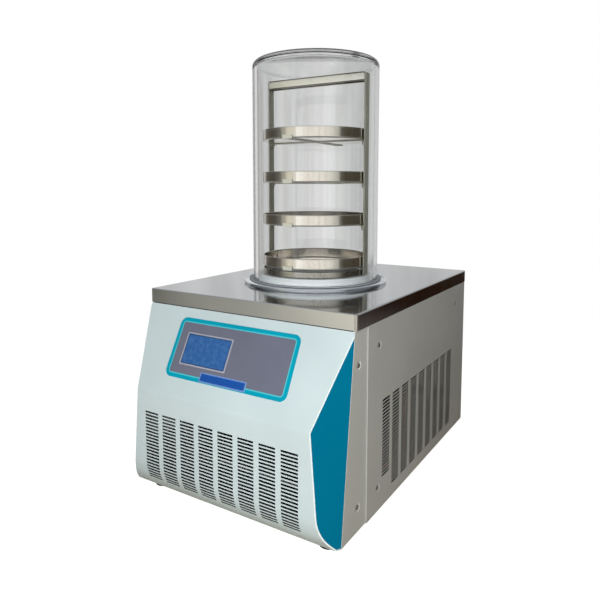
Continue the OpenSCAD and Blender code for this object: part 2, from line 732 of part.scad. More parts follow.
rack_z = collar_h + 0.1;
rack_foot_t = 2;
hoop_r = tray_d / 2 - 0.5;
lug_in_x = tray_d / 2 - 4;
function tray_z(i) = tray_base + (trays - i) * tray_pitch;
module on_rack() {
    on_axis() rotate([0, 0, rack_turn]) children();
}
module rack_frame() {
    color([0.62, 0.61, 0.58]) on_rack() {
        for (side = [-1, 1]) on_side(side) {
            box_between([upright_x, -upright_d / 2, rack_z], [upright_x + upright_t, upright_d / 2, rack_h]);
            box_between([hoop_r - 6, -upright_d / 2, rack_z],
                [upright_x + 0.1, upright_d / 2, rack_z + rack_foot_t]);
            for (i = [1:trays]) translate([0, 0, tray_z(i) - strip_t]) {
                box_between([lug_in_x, -arm_w / 2, -2.2], [upright_x + 0.1, arm_w / 2, -0.2]);
                if (i < trays) box_between([lug_in_x, -arm_w / 2, -7], [lug_in_x + 2, arm_w / 2, -0.21]);
            }
        }
        crossbar_top = rack_h - 0.5;
        difference() {
            box_between([-upright_x - 0.1, -upright_d / 2, crossbar_top - crossbar_h],
                [upright_x + 0.1, upright_d / 2, crossbar_top]);
            box_between([-upright_x + 3, strip_t - upright_d / 2, -1],
                [upright_x - 3, upright_d / 2 - strip_t, crossbar_top - strip_t]);
        }
    }
}
module rack_base_ring() {
    color([0.7, 0.69, 0.66]) on_axis() translate([0, 0, rack_z + rack_foot_t + 0.1])
        ring(hoop_r, hoop_r - strip_t, hoop_h);
}
module tray_support(i) {
    tab_in = tray_d / 2 + 0.3;
    color([0.62, 0.61, 0.58]) on_rack() translate([0, 0, tray_z(i) - strip_t - 0.1]) {
        box_between([seam - upright_x, -arm_w / 2, 0], [upright_x - seam, arm_w / 2, strip_t]);
        box_between([-arm_w / 2, -tab_in - strip_t, 0], [arm_w / 2, tab_in + strip_t, strip_t]);
        for (y = [-1, 1]) translate([0, y * (tab_in + strip_t / 2), tab_h / 2])
            cube([tab_w, strip_t, tab_h], center = true);
    }
}
module tray(i) {
    r = tray_d / 2;
    corner = 3;
    outside = [[0, 0], [r - corner, 0], [r - corner / 3, corner / 3], [r, corner], [r, tray_h]];
    inside = [[r - tray_t, tray_h], [r - tray_t, corner], [r - corner / 3 - tray_t, corner / 3 + tray_t / 2],
        [r - corner - tray_t / 2, tray_t], [0, tray_t]];
    color([0.78, 0.76, 0.72]) on_axis() translate([0, 0, tray_z(i)])
        rotate_extrude($fn = 128) polygon(concat(outside, inside));
}

// ---- Cold trap, vacuum and drain ----
vessel_depth = body_h - trap_rise;
vessel_rim_r = mouth_r + 6;
vessel_out_r = vessel_r + vessel_t;
vessel_rim_z = under_plate;
spigot_r = 6.5;
spigot_l = 16;
coil_gap = 0.8;
coil_r = vessel_out_r + coil_gap + coil_tube_r;
coil_bottom = -vessel_depth + 14;
coil_top = coil_bottom + coil_pitch * (coil_turns - 0.5);
coil_tail = 60;
foam_in_r = coil_r + coil_tube_r + 1;
foam_z = -vessel_depth - vessel_t - foam_base;
drain_r = 8;
drain_bore = spigot_r - vessel_t;
drain_z = drain_rise - body_h;
port_out_r = port_r + port_wall;
vessel_base_z = -vessel_depth - vessel_t;
module trap_vessel() {
    under_rim = vessel_rim_z - sheet_t;
    outside = [[0, vessel_base_z], [vessel_out_r, vessel_base_z], [vessel_out_r, under_rim],
        [vessel_rim_r, under_rim], [vessel_rim_r, vessel_rim_z]];
    inside = [[vessel_r, vessel_rim_z], [vessel_r, -vessel_depth], [0, -vessel_depth]];
    color([0.75, 0.76, 0.77]) on_axis() difference() {
        union() {
            rotate_extrude($fn = 128) polygon(concat(outside, inside));
            translate([0, 0, vessel_base_z - spigot_l]) cylinder(r = spigot_r, h = spigot_l + 0.5, $fn = 48);
        }
        translate([0, 0, vessel_base_z - 2 * spigot_l]) cylinder(r = drain_bore, h = 3 * spigot_l, $fn = 48);
        translate([0, 0, -port_drop]) backwards() cylinder(r = port_out_r + 0.1, h = 2 * vessel_r, $fn = 64);
    }
}
module evaporator_coil() {
    segments = 32;
    count = segments * coil_turns - segments / 2;
    turns_route = [
        for (i = [0:count]) let (a = 180 + 360 * i / segments)
            [coil_r * cos(a), coil_r * sin(a), coil_bottom + coil_pitch * i / segments]
    ];
    route = concat([[-coil_r, coil_tail, coil_bottom]], turns_route, [[coil_r, coil_tail, coil_top]]);
    color([0.72, 0.45, 0.3]) on_axis() tube_along(route, coil_tube_r, 8, [0, 0, 1]);
}
module trap_insulation() {
    lip = 9;
    rim = vessel_rim_z - sheet_t - 0.1;
    neck_r = vessel_out_r + 0.1;
    seat_z = vessel_base_z - 0.1;
    outside = [[0, foam_z], [foam_r, foam_z], [foam_r, rim], [neck_r, rim]];
    inside = [[neck_r, rim - lip], [foam_in_r, rim - lip], [foam_in_r, seat_z], [0, seat_z]];
    color([0.93, 0.9, 0.78]) on_axis() difference() {
        rotate_extrude($fn = 128) polygon(concat(outside, inside));
        translate([0, 0, foam_z - 1]) cylinder(r = drain_r + 0.5, h = foam_base + 5, $fn = 48);
        translate([0, 0, -port_drop]) backwards() cylinder(r = port_out_r + 0.4, h = 2 * foam_r, $fn = 64);
        for (end = [[-coil_r, coil_bottom], [coil_r, coil_top]])
            translate([end[0], 0, end[1]]) backwards() cylinder(r = line_r + 1, h = foam_r, $fn = 32);
    }
}
port_end = plate_d + port_reach - 8;
gauge_y = 470;
gauge_stem_r = 6;
module vacuum_pipe() {
    start = jar_y + vessel_r - 2;
    pipe_l = port_end - start;
    flange = 3;
    color([0.75, 0.76, 0.77]) on_plate() translate([0, 0, -port_drop]) difference() {
        translate([0, start, 0]) backwards() {
            cylinder(r = port_out_r, h = pipe_l);
            translate([0, 0, pipe_l - 2 * flange]) cylinder(r1 = port_out_r, r2 = port_flange_r, h = flange);
            translate([0, 0, pipe_l - flange]) cylinder(r = port_flange_r, h = flange);
        }
        translate([0, start - 10, 0]) backwards() cylinder(r = port_r, h = far);
        translate([0, gauge_y, 0]) cylinder(r = gauge_stem_r + 0.1, h = 30, $fn = 48);
    }
}
module vacuum_gauge() {
    body_r = 14;
    body_l = 34;
    color([0.2, 0.22, 0.25]) on_plate() translate([0, gauge_y, -port_drop]) {
        translate([0, 0, port_r]) cylinder(r = gauge_stem_r, h = port_wall + 4, $fn = 48);
        translate([0, 0, port_r + port_wall + 2]) cylinder(r = body_r, h = body_l, $fn = 64);
    }
}

drain_end = plate_d + port_reach;
valve_y = back_y + 14;
valve_r = 10;
stem_r = 2.5;
boss_h = 14;
module drain_path(r, y1) {
    translate([0, jar_y, drain_z]) cylinder(r = r, h = -vessel_depth - 6 - drain_z);
    translate([0, jar_y, drain_z]) sphere(r);
    translate([0, jar_y, drain_z]) backwards() cylinder(r = r, h = y1 - jar_y);
}
module drain_tube() {
    tube_end = back_y - 14;
    color([0.85, 0.85, 0.82]) on_plate() difference() {
        drain_path(drain_r, tube_end);
        drain_path(drain_bore, tube_end + 1);
        translate([0, jar_y, -vessel_depth - vessel_t - spigot_l]) cylinder(r = spigot_r + 0.1, h = far);
        translate([0, tube_end - 12, drain_z]) backwards() cylinder(r = spigot_r + 0.1, h = 20);
    }
}
module drain_valve() {
    body_end = drain_end - nozzle_l;
    color([0.78, 0.66, 0.35]) on_plate() translate([0, 0, drain_z]) difference() {
        union() {
            translate([0, back_y - 24, 0]) backwards() cylinder(r = spigot_r, h = 30, $fn = 48);
            translate([0, back_y + 0.1, 0]) backwards()
                cylinder(r = valve_r, h = body_end - back_y - 0.1, $fn = 48);
            translate([0, body_end - 1, 0]) backwards() cylinder(r = nozzle_r, h = nozzle_l + 1, $fn = 48);
            translate([0, valve_y, 0]) cylinder(r = 6, h = boss_h, $fn = 48);
        }
        translate([0, back_y - 30, 0]) backwards() cylinder(r = nozzle_r - 2, h = 100, $fn = 48);
        translate([0, valve_y, nozzle_r]) cylinder(r = stem_r + running_gap, h = 20, $fn = 48);
    }
}
module drain_lever() {
    color([0.75, 0.1, 0.1]) on_plate() translate([0, valve_y, drain_z + boss_h + seam]) {
        translate([0, 0, nozzle_r + 1 - boss_h]) cylinder(r = stem_r, h = boss_h - nozzle_r, $fn = 48);
        cylinder(r = 6.5, h = 3, $fn = 48);
        translate([0, -4.5, 0]) cube([34, 9, 3]);
        translate([34, 0, 0]) cylinder(r = 4.5, h = 3, $fn = 48);
    }
}

// ---- Refrigeration ----
mount_h = 18;
mount_plate_t = 3;
compressor_x = half_w - compressor_inset;
compressor_z = mount_h + 0.1;
module at_compressor() on_pan() translate([-compressor_x, compressor_y, 0]) children();
compressor_base = [2 * compressor_r + 6, 2 * compressor_r - 14];
grommet_r = 5;
module at_compressor_mounts() {
    for (x = [-1, 1], y = [-1, 1])
        translate([x * (compressor_base[0] / 2 - 17), y * (compressor_base[1] / 2 - 13), 0]) children();
}
module compressor() {
    edge = 26;
    turn = 80;
    arc_x = compressor_r - edge;
    shell_z = compressor_z + mount_plate_t;
    color([0.1, 0.1, 0.11]) at_compressor() {
        translate([0, 0, compressor_z]) linear_extrude(mount_plate_t + 0.01) difference() {
            rounded_rect(compressor_base[0], compressor_base[1], 12);
            at_compressor_mounts() circle(grommet_r + 0.4, $fn = 32);
        }
        translate([0, 0, shell_z]) rotate_extrude() polygon(concat([[0, 0], [arc_x, 0]],
            circle_arc([arc_x, edge], edge, -turn, 0, 6),
            circle_arc([arc_x, compressor_h - edge], edge, 0, 90, 6), [[0, compressor_h]]));
    }
}
module compressor_mounts() {
    color([0.08, 0.08, 0.08]) at_compressor() at_compressor_mounts() {
        cylinder(r = 2.2 * grommet_r, h = mount_h, $fn = 48);
        cylinder(r = grommet_r, h = mount_h + 8, $fn = 48);
    }
}
module terminal_cover() {
    half = 25;
    mid_z = 0.7 * compressor_h;
    color([0.15, 0.15, 0.16]) at_compressor()
        box_between([compressor_r + seam, -half, mid_z - half], [compressor_r + 16, half, mid_z + half]);
}

condenser_rows = 7;
row_pitch = condenser_h / condenser_rows;
module on_condenser() on_pan() translate([0, condenser_y, 0.1]) children();
module condenser() {
    fins = 24;
    fin_t = 0.8;
    side_t = 1.5;
    tube_y = [condenser_d / 4, 3 * condenser_d / 4];
    half = condenser_w / 2;
    color([0.75, 0.76, 0.78]) on_condenser() {
        for (x = [-1, 1]) translate([x * (half - side_t / 2), condenser_d / 2, condenser_h / 2])
            cube([side_t, condenser_d, condenser_h], center = true);
        for (i = [1:fins])
            translate([-half + i * condenser_w / (fins + 1), condenser_d / 2, condenser_h / 2])
                cube([fin_t, condenser_d - 2, condenser_h - 2], center = true);
        for (y = tube_y, i = [0:condenser_rows - 1])
            translate([-half - 0.5, y, (i + 0.5) * row_pitch]) rotate([0, 90, 0])
                cylinder(r = condenser_tube_r, h = condenser_w + 1, $fn = 32);
        for (y = tube_y, i = [0:condenser_rows - 2]) {
            right = i % 2 == 1;
            end_x = half + 0.5;
            translate([right ? end_x : -end_x, y, (i + 1) * row_pitch]) rotate([90, 0, right ? 0 : 180])
                rotate([0, 0, -90]) rotate_extrude(angle = 180, $fn = 48)
                    translate([row_pitch / 2, 0]) circle(condenser_tube_r, $fn = 32);
        }
    }
}
shroud_y = condenser_d + 0.2;
fan_z = condenser_h / 2;
collar_l = 14;
blade_mid = 20;
bracket_y = 40;
bearing_l = 20;
module at_fan() on_condenser() translate([0, shroud_y, fan_z]) children();
module fan_shroud() {
    hole_r = fan_r + 4;
    color([0.2, 0.2, 0.21]) at_fan() difference() {
        union() {
            translate([-condenser_w / 2, 0, -fan_z]) cube([condenser_w, sheet_t, condenser_h]);
            backwards() cylinder(r = hole_r + sheet_t, h = collar_l);
        }
        translate([0, -1, 0]) backwards() cylinder(r = hole_r, h = collar_l + 2);
    }
}
module fan_motor() {
    leg_z = fan_r + 10;
    strip = 22;
    color([0.3, 0.3, 0.32]) at_fan() difference() {
        union() {
            box_between([-strip / 2, bracket_y, -leg_z], [strip / 2, bracket_y + 2, leg_z]);
            for (side = [-1, 1]) scale([1, 1, side])
                box_between([-strip / 2, sheet_t + 0.1, leg_z - 2], [strip / 2, bracket_y + 1, leg_z]);
            translate([0, bracket_y + 1, 0]) backwards() cylinder(r = fan_motor_r, h = 38);
        }
        translate([0, bracket_y - 1, 0]) backwards()
            cylinder(r = fan_shaft_r + running_gap, h = bearing_l + 4, $fn = 48);
    }
}
module fan_shaft() {
    color([0.8, 0.8, 0.8]) at_fan() translate([0, blade_mid - 9, 0]) backwards()
        cylinder(r = fan_shaft_r, h = bracket_y + bearing_l - (blade_mid - 9), $fn = 48);
}
module fan_blades() {
    hub_r = 16;
    hub_l = 16;
    chord = 48;
    blade_t = 1.6;
    blade_turn = 28;
    color([0.85, 0.85, 0.83]) at_fan() difference() {
        union() {
            translate([0, blade_mid - hub_l / 2, 0]) backwards() cylinder(r = hub_r, h = hub_l);
            intersection() {
                backwards() cylinder(r = fan_r, h = bracket_y);
                for (i = [1:fan_blade_count]) rotate([0, 360 * i / fan_blade_count, 0])
                    translate([hub_r - 3, blade_mid, 0]) rotate([blade_turn, 0, 0])
                        translate([0, -blade_t / 2, -chord / 2]) cube([fan_r, blade_t, chord]);
            }
        }
        translate([0, -1, 0]) backwards() cylinder(r = fan_shaft_r + 0.05, h = far / 10, $fn = 48);
    }
}

drier_place = [half_w - 37, 300];
drier_z = 52;
drier_l = 90;
drier_r = 13;
drier_cone = 8;
capillary_r = 1.5;
module filter_drier() {
    color([0.78, 0.6, 0.42]) on_pan() translate([drier_place[0], drier_place[1], drier_z]) {
        translate([0, 0, drier_cone]) cylinder(r = drier_r, h = drier_l - 2 * drier_cone, $fn = 48);
        cylinder(r1 = line_r + 1, r2 = drier_r, h = drier_cone + 0.01, $fn = 48);
        translate([0, 0, drier_l - drier_cone - 0.01])
            cylinder(r1 = drier_r, r2 = line_r + 1, h = drier_cone + 0.01, $fn = 48);
    }
}
module refrigerant_lines() {
    pan_z = sheet_t - body_h;
    line_x = half_w - 19;
    header_x = condenser_w / 2 + 2;
    header_y = condenser_y + condenser_d / 4;
    bottom_z = pan_z + 0.1 + row_pitch / 2;
    inlet_z = bottom_z + (condenser_rows - 1) * row_pitch;
    mid_z = pan_z + 120;
    coil_y = jar_y + coil_tail + 0.2;
    capillary_y = jar_y + 135;
    shell_top = pan_z + compressor_z + mount_plate_t + compressor_h;
    discharge = [[-compressor_x - compressor_r - 0.4, compressor_y, mid_z], [-line_x, compressor_y, mid_z],
        [-line_x, header_y, mid_z], [-line_x, header_y, inlet_z], [-header_x, header_y, inlet_z]];
    liquid = [[header_x, header_y, bottom_z], [drier_place[0], header_y, bottom_z],
        [drier_place[0], drier_place[1], bottom_z], [drier_place[0], drier_place[1], pan_z + drier_z - 0.2]];
    suction = [[-coil_r, coil_y, coil_bottom], [-coil_r, compressor_y, coil_bottom],
        [-coil_r, compressor_y, shell_top + 0.2]];
    capillary = [[drier_place[0], drier_place[1], pan_z + drier_z + drier_l + 0.2],
        [drier_place[0], drier_place[1], coil_top], [drier_place[0], capillary_y, coil_top],
        [coil_r, capillary_y, coil_top], [coil_r, coil_y, coil_top]];
    color([0.72, 0.45, 0.3]) on_plate() {
        tube_along(rounded_route(discharge, 3 * line_r), line_r);
        tube_along(rounded_route(liquid, 3 * line_r), line_r);
        tube_along(rounded_route(suction, 2.4 * line_r), line_r);
        tube_along(rounded_route(capillary, 8 * capillary_r), capillary_r, 8);
    }
}

// ---- Electrical ----
module on_back(place) on_plate() translate([place[0], back_y + 0.1, place[1]]) children();
// A flanged socket body with a rectangular cavity, open backwards
socket_w = 24.5;
socket_h = 17;
socket_depth = 17;
socket_body_l = 22;
socket_flange_t = 2.5;
module socket_shell() {
    body = [inlet_w, inlet_h] - 2 * socket_edge - [2 * seam, 2 * seam];
    difference() {
        union() {
            translate([-inlet_w / 2, 0, -inlet_h / 2]) cube([inlet_w, socket_flange_t, inlet_h]);
            translate([-body[0] / 2, -socket_body_l, -body[1] / 2])
                cube([body[0], socket_body_l + 0.1, body[1]]);
        }
        translate([-socket_w / 2, socket_flange_t - socket_depth, -socket_h / 2])
            cube([socket_w, socket_depth + 1, socket_h]);
    }
}
module power_inlet() {
    color([0.07, 0.07, 0.07]) on_back(inlet_place) {
        socket_shell();
        for (pin = [[-7, -3.5], [7, -3.5], [0, 0]])
            translate([pin[0] - 1, 1.5 - socket_depth, pin[1] - 2]) cube([2, socket_depth - 3, 4]);
    }
}
module power_outlet() {
    block = [socket_w - 4, socket_depth - 1.5, socket_h - 4];
    hole = [2.6, 20, 4.6];
    color([0.07, 0.07, 0.07]) on_back(outlet_place) {
        socket_shell();
        difference() {
            translate([-block[0] / 2, 2 - socket_depth, -block[2] / 2]) cube(block);
            for (pin = [[-6, -2.5], [6, -2.5], [0, 2]])
                translate([pin[0] - hole[0] / 2, 5 - socket_depth, pin[1] - hole[2] / 2]) cube(hole);
        }
    }
}
pivot_y = -2;
pivot_r = 1.5;
module switch_housing() {
    in_w = rocker_w + 0.8;
    in_h = rocker_h + 1;
    rim = 6;
    rim_t = 2;
    wall = [2.4, 2];
    body_l = 18;
    well = 14;
    color([0.07, 0.07, 0.07]) on_back(switch_place) difference() {
        union() {
            translate([-in_w / 2 - rim, 0, -in_h / 2 - rim]) cube([in_w + 2 * rim, rim_t, in_h + 2 * rim]);
            translate([-in_w / 2 - wall[0], -body_l, -in_h / 2 - wall[1]])
                cube([in_w + 2 * wall[0], body_l + 0.1, in_h + 2 * wall[1]]);
        }
        translate([-in_w / 2, -well, -in_h / 2]) cube([in_w, well + 2 * rim_t, in_h]);
        translate([-in_w, pivot_y, 0]) sideways()
            cylinder(r = pivot_r + running_gap, h = 2 * in_w, $fn = 48);
    }
}
module power_rocker() {
    half_h = rocker_h / 2 - 0.6;
    pin_half = rocker_w / 2 + 2.4;
    profile = [[-3, -half_h], [6.4, -half_h], [4.6, 0], [6.4, half_h], [-3, half_h]];
    color([0.75, 0.12, 0.1]) on_back(switch_place) translate([0, pivot_y, 0])
        rotate([-rocker_travel / 2, 0, 0]) {
            along_x(-rocker_w / 2, rocker_w / 2) polygon(profile);
            translate([-pin_half, 0, 0]) sideways() cylinder(r = pivot_r, h = 2 * pin_half, $fn = 48);
        }
}
supply_place = [half_w - 87, back_y - 87];
supply_size = [92, 90, 45];
module power_supply() {
    color([0.55, 0.56, 0.58]) on_pan()
        translate([supply_place[0] - supply_size[0] / 2, supply_place[1] - supply_size[1] / 2, 0.1])
            cube(supply_size);
}

base_pan();
front_panel();
cheek(-1);  // left_cheek
cheek(1);  // right_cheek
side_strip(-1);  // left_side_strip
side_strip(1);  // right_side_strip
side_panel(-1);  // left_side_panel
side_panel(1);  // right_side_panel
rear_panel();
top_rail(-1);  // left_top_rail
top_rail(1);  // right_top_rail
top_plate();
foot(-1, -foot_ahead);  // foot_front_left
foot(1, -foot_ahead);  // foot_front_right
foot(-1, foot_rear_y);  // foot_rear_left
foot(1, foot_rear_y);  // foot_rear_right
foot_screws();
casing_screws();
panel_overlay();
display_frame();
display_screen();
label_plate();
controller_board();
seal_flange();
jar_gasket();
trap_collar();
bell_jar();
rack_frame();
rack_base_ring();
tray_support(1);  // tray_support_1
tray_support(2);  // tray_support_2
tray_support(3);  // tray_support_3
tray_support(4);  // tray_support_4
tray(1);  // tray_1
tray(2);  // tray_2
tray(3);  // tray_3
tray(4);  // tray_4
trap_vessel();
evaporator_coil();
trap_insulation();
vacuum_pipe();
vacuum_gauge();
drain_tube();
drain_valve();
drain_lever();
compressor();
compressor_mounts();
terminal_cover();
condenser();
fan_shroud();
fan_motor();
fan_shaft();
fan_blades();
filter_drier();
refrigerant_lines();
power_inlet();
switch_housing();
power_rocker();
power_supply();
power_outlet();
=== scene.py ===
import json
import math

import bmesh
import bpy
from mathutils import Matrix, Vector
from mathutils.geometry import tessellate_polygon

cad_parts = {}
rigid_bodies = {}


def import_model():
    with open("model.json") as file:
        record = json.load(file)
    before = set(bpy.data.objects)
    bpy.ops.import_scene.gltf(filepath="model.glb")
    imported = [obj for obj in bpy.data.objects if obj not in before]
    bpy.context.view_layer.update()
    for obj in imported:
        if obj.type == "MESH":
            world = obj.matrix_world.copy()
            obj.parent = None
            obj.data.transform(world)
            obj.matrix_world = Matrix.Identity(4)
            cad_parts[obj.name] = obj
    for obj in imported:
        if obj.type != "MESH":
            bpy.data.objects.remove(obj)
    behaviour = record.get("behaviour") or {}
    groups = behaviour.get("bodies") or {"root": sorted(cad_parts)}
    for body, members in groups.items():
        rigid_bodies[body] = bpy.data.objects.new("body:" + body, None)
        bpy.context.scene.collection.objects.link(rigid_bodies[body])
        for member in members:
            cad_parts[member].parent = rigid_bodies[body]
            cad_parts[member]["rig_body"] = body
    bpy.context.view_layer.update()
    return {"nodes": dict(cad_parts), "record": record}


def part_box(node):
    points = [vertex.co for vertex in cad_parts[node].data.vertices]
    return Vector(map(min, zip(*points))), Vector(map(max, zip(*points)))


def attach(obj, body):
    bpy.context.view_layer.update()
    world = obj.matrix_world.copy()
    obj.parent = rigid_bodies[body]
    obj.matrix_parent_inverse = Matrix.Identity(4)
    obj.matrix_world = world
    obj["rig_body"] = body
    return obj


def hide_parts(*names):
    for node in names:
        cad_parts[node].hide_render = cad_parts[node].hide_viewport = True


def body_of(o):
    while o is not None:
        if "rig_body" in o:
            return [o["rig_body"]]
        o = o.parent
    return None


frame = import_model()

# ---------------------------------------------------------------------------------------------
# Frame: lengths are millimetres unless a section says otherwise, measured from the middle of the
# top plate's front edge, at the height of its top face. X runs to the right, Y to the back, Z up.
# ---------------------------------------------------------------------------------------------
MM = 0.001
NODES = frame["nodes"]
PLATE_LOW, PLATE_HIGH = (Vector(corner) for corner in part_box("top_plate"))
ORIGIN = Vector((0.0, PLATE_LOW.y, PLATE_HIGH.z))


def at(x, y, z):
    """A point given in millimetres from the plate's front edge, in metres in the shared frame."""
    return ORIGIN + Vector((x, y, z)) * MM


def node_box(name):
    """A CAD node's corners in millimetres, in the frame of the top plate."""
    return [(Vector(corner) - ORIGIN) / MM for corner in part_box(name)]


def half_width(low, high):
    return (high.x - low.x) / 2


JAR_LOW, JAR_HIGH = node_box("bell_jar")
AXIS = Vector((0.0, (JAR_LOW.y + JAR_HIGH.y) / 2, 0.0))
SLOT_OF = {part["node"]: part["material_slot"] for part in frame["record"]["subparts"]}
# Nodes that look different from what their slot in the record gives
PAINT_OF = {
    "left_side_panel": "panel_paint", "right_side_panel": "panel_paint", "rack_base_ring": "hoop_steel",
}

# ---------------------------------------------------------------------------------------------
# Camera, fitted to the casing's edges: its angles are in radians and its lens in millimetres
# ---------------------------------------------------------------------------------------------
CAMERA_PLACE = (604.5, -771.7, 191.0)
CAMERA_YAW = 0.563
CAMERA_PITCH = 0.094
CAMERA_LENS = 34.56
CAMERA_SHIFT = -0.0962
SENSOR_WIDTH = 36.0


def make_camera():
    data = bpy.data.cameras.new("camera")
    data.sensor_width = SENSOR_WIDTH
    data.lens = CAMERA_LENS
    data.shift_y = CAMERA_SHIFT
    camera = bpy.data.objects.new("camera", data)
    camera.location = at(*CAMERA_PLACE)
    camera.rotation_euler = (math.pi / 2 - CAMERA_PITCH, 0.0, CAMERA_YAW)
    bpy.context.scene.collection.objects.link(camera)
    bpy.context.scene.camera = camera


# ---------------------------------------------------------------------------------------------
# Node materials
# ---------------------------------------------------------------------------------------------
class Shader:
    """A node tree with a Principled shader and short helpers for the textures that feed it."""

    def __init__(self, name, color, roughness, metallic=0.0, **sockets):
        self.material = bpy.data.materials.new(name)
        self.material.use_nodes = True
        self.tree = self.material.node_tree
        self.bsdf = self.tree.nodes["Principled BSDF"]
        self.bsdf.inputs["Base Color"].default_value = (*color, 1.0)
        self.bsdf.inputs["Roughness"].default_value = roughness
        self.bsdf.inputs["Metallic"].default_value = metallic
        for socket, value in sockets.items():
            self.bsdf.inputs[socket.replace("_", " ")].default_value = value
        self.place = self.tree.nodes.new("ShaderNodeTexCoord").outputs["Object"]

    def node(self, kind, **values):
        """A node with its sockets or settings of these names given values."""
        made = self.tree.nodes.new(kind)
        for key, value in values.items():
            if key in made.inputs:
                made.inputs[key].default_value = value
            else:
                setattr(made, key, value)
        return made

    def link(self, out, into):
        self.tree.links.new(out, into)

    def stretched(self, x, y, z):
        """The object coordinates scaled by a factor along each axis, for streaks and brushing."""
        scaled = self.node("ShaderNodeMapping")
        scaled.inputs["Scale"].default_value = (x, y, z)
        self.link(self.place, scaled.inputs["Vector"])
        return scaled.outputs["Vector"]

    def noise(self, scale, detail=3.0, vector=None, roughness=0.5):
        made = self.node("ShaderNodeTexNoise", Scale=scale, Detail=detail, Roughness=roughness)
        self.link(vector or self.place, made.inputs["Vector"])
        return made.outputs["Fac"]

    def spread(self, value, low, high, from_low=0.0, from_high=1.0):
        """A value moved from one range to another."""
        made = self.node("ShaderNodeMapRange")
        limits = {"From Min": from_low, "From Max": from_high, "To Min": low, "To Max": high}
        for name, number in limits.items():
            made.inputs[name].default_value = number
        self.link(value, made.inputs["Value"])
        return made.outputs["Result"]

    def colors(self, value, *stops):
        """A colour ramp; each stop is (position, (r, g, b))."""
        ramp = self.node("ShaderNodeValToRGB")
        elements = ramp.color_ramp.elements
        while len(elements) < len(stops):
            elements.new(0.5)
        for element, (position, color) in zip(elements, stops):
            element.position = position
            element.color = (*color, 1.0)
        self.link(value, ramp.inputs["Fac"])
        return ramp.outputs["Color"]

    def bump(self, height, strength, distance):
        made = self.node("ShaderNodeBump", Strength=strength, Distance=distance)
        self.link(height, made.inputs["Height"])
        self.link(made.outputs["Normal"], self.bsdf.inputs["Normal"])

    def set(self, socket, value):
        self.link(value, self.bsdf.inputs[socket])


def powder_paint(name, color, roughness=0.42, grain=420.0, depth=0.25, shade=0.05, coat=0.15, specular=0.5):
    """Powder paint on sheet metal: fine orange peel, faint mottling and uneven gloss."""
    s = Shader(name, color, roughness, Coat_Weight=coat, Coat_Roughness=0.25, Specular_IOR_Level=specular)
    cloud = s.noise(7.0, 4.0)
    darker = tuple(c * (1.0 - shade) for c in color)
    lighter = tuple(min(1.0, c * (1.0 + shade)) for c in color)
    s.set("Base Color", s.colors(cloud, (0.3, darker), (0.7, lighter)))
    s.set("Roughness", s.spread(s.noise(35.0, 3.0), roughness - 0.06, roughness + 0.06))
    s.bump(s.noise(grain, 2.0), depth, 0.00012)
    return s.material


def steel(
    name, color, roughness, brush=(1.0, 1.0, 1.0), brush_scale=60.0, depth=0.05, spread=0.05, tint=0.04
):
    """Stainless sheet: grain drawn out along one axis, seen in its gloss and faintly in its relief."""
    s = Shader(name, color, roughness, metallic=1.0)
    grain = s.noise(brush_scale, 5.0, s.stretched(*brush), 0.6)
    s.set("Roughness", s.spread(grain, max(0.02, roughness - spread), roughness + spread, 0.3, 0.7))
    darker = tuple(c * (1.0 - tint) for c in color)
    s.set("Base Color", s.colors(s.noise(9.0, 3.0), (0.3, darker), (0.7, color)))
    s.bump(grain, depth, 0.00005)
    return s.material


def plastic(name, color, roughness, grain=900.0, depth=0.1, **sockets):
    """Moulded plastic or rubber with a fine moulded grain."""
    s = Shader(name, color, roughness, **sockets)
    s.set("Roughness", s.spread(s.noise(60.0, 3.0), roughness - 0.05, roughness + 0.07))
    darker = tuple(c * 0.9 for c in color)
    s.set("Base Color", s.colors(s.noise(14.0, 3.0), (0.3, darker), (0.7, color)))
    s.bump(s.noise(grain, 2.0), depth, 0.0001)
    return s.material


def mottled(name, color, lighter, roughness):
    """A film over a display, faintly uneven where it doesn't lie flat on the glass."""
    s = Shader(name, color, roughness, Specular_IOR_Level=0.25)
    s.set("Base Color", s.colors(s.noise(150.0, 4.0), (0.42, color), (0.68, lighter)))
    s.bump(s.noise(60.0, 2.0), 0.1, 0.0001)
    return s.material


def clear(name, color, roughness, ior):
    """Clear plastic that lets light through to what it covers."""
    s = Shader(name, color, roughness, Transmission_Weight=1.0, IOR=ior)
    s.set("Roughness", s.spread(s.noise(5.0, 2.0), roughness, roughness + 0.01))
    output = s.tree.nodes["Material Output"]
    open_way = s.node("ShaderNodeBsdfTransparent")
    open_way.inputs["Color"].default_value = (0.98, 0.985, 0.99, 1.0)
    mix = s.node("ShaderNodeMixShader")
    path = s.node("ShaderNodeLightPath")
    s.link(path.outputs["Is Shadow Ray"], mix.inputs["Fac"])
    s.link(s.bsdf.outputs["BSDF"], mix.inputs[1])
    s.link(open_way.outputs["BSDF"], mix.inputs[2])
    s.link(mix.outputs["Shader"], output.inputs["Surface"])
    return s.material


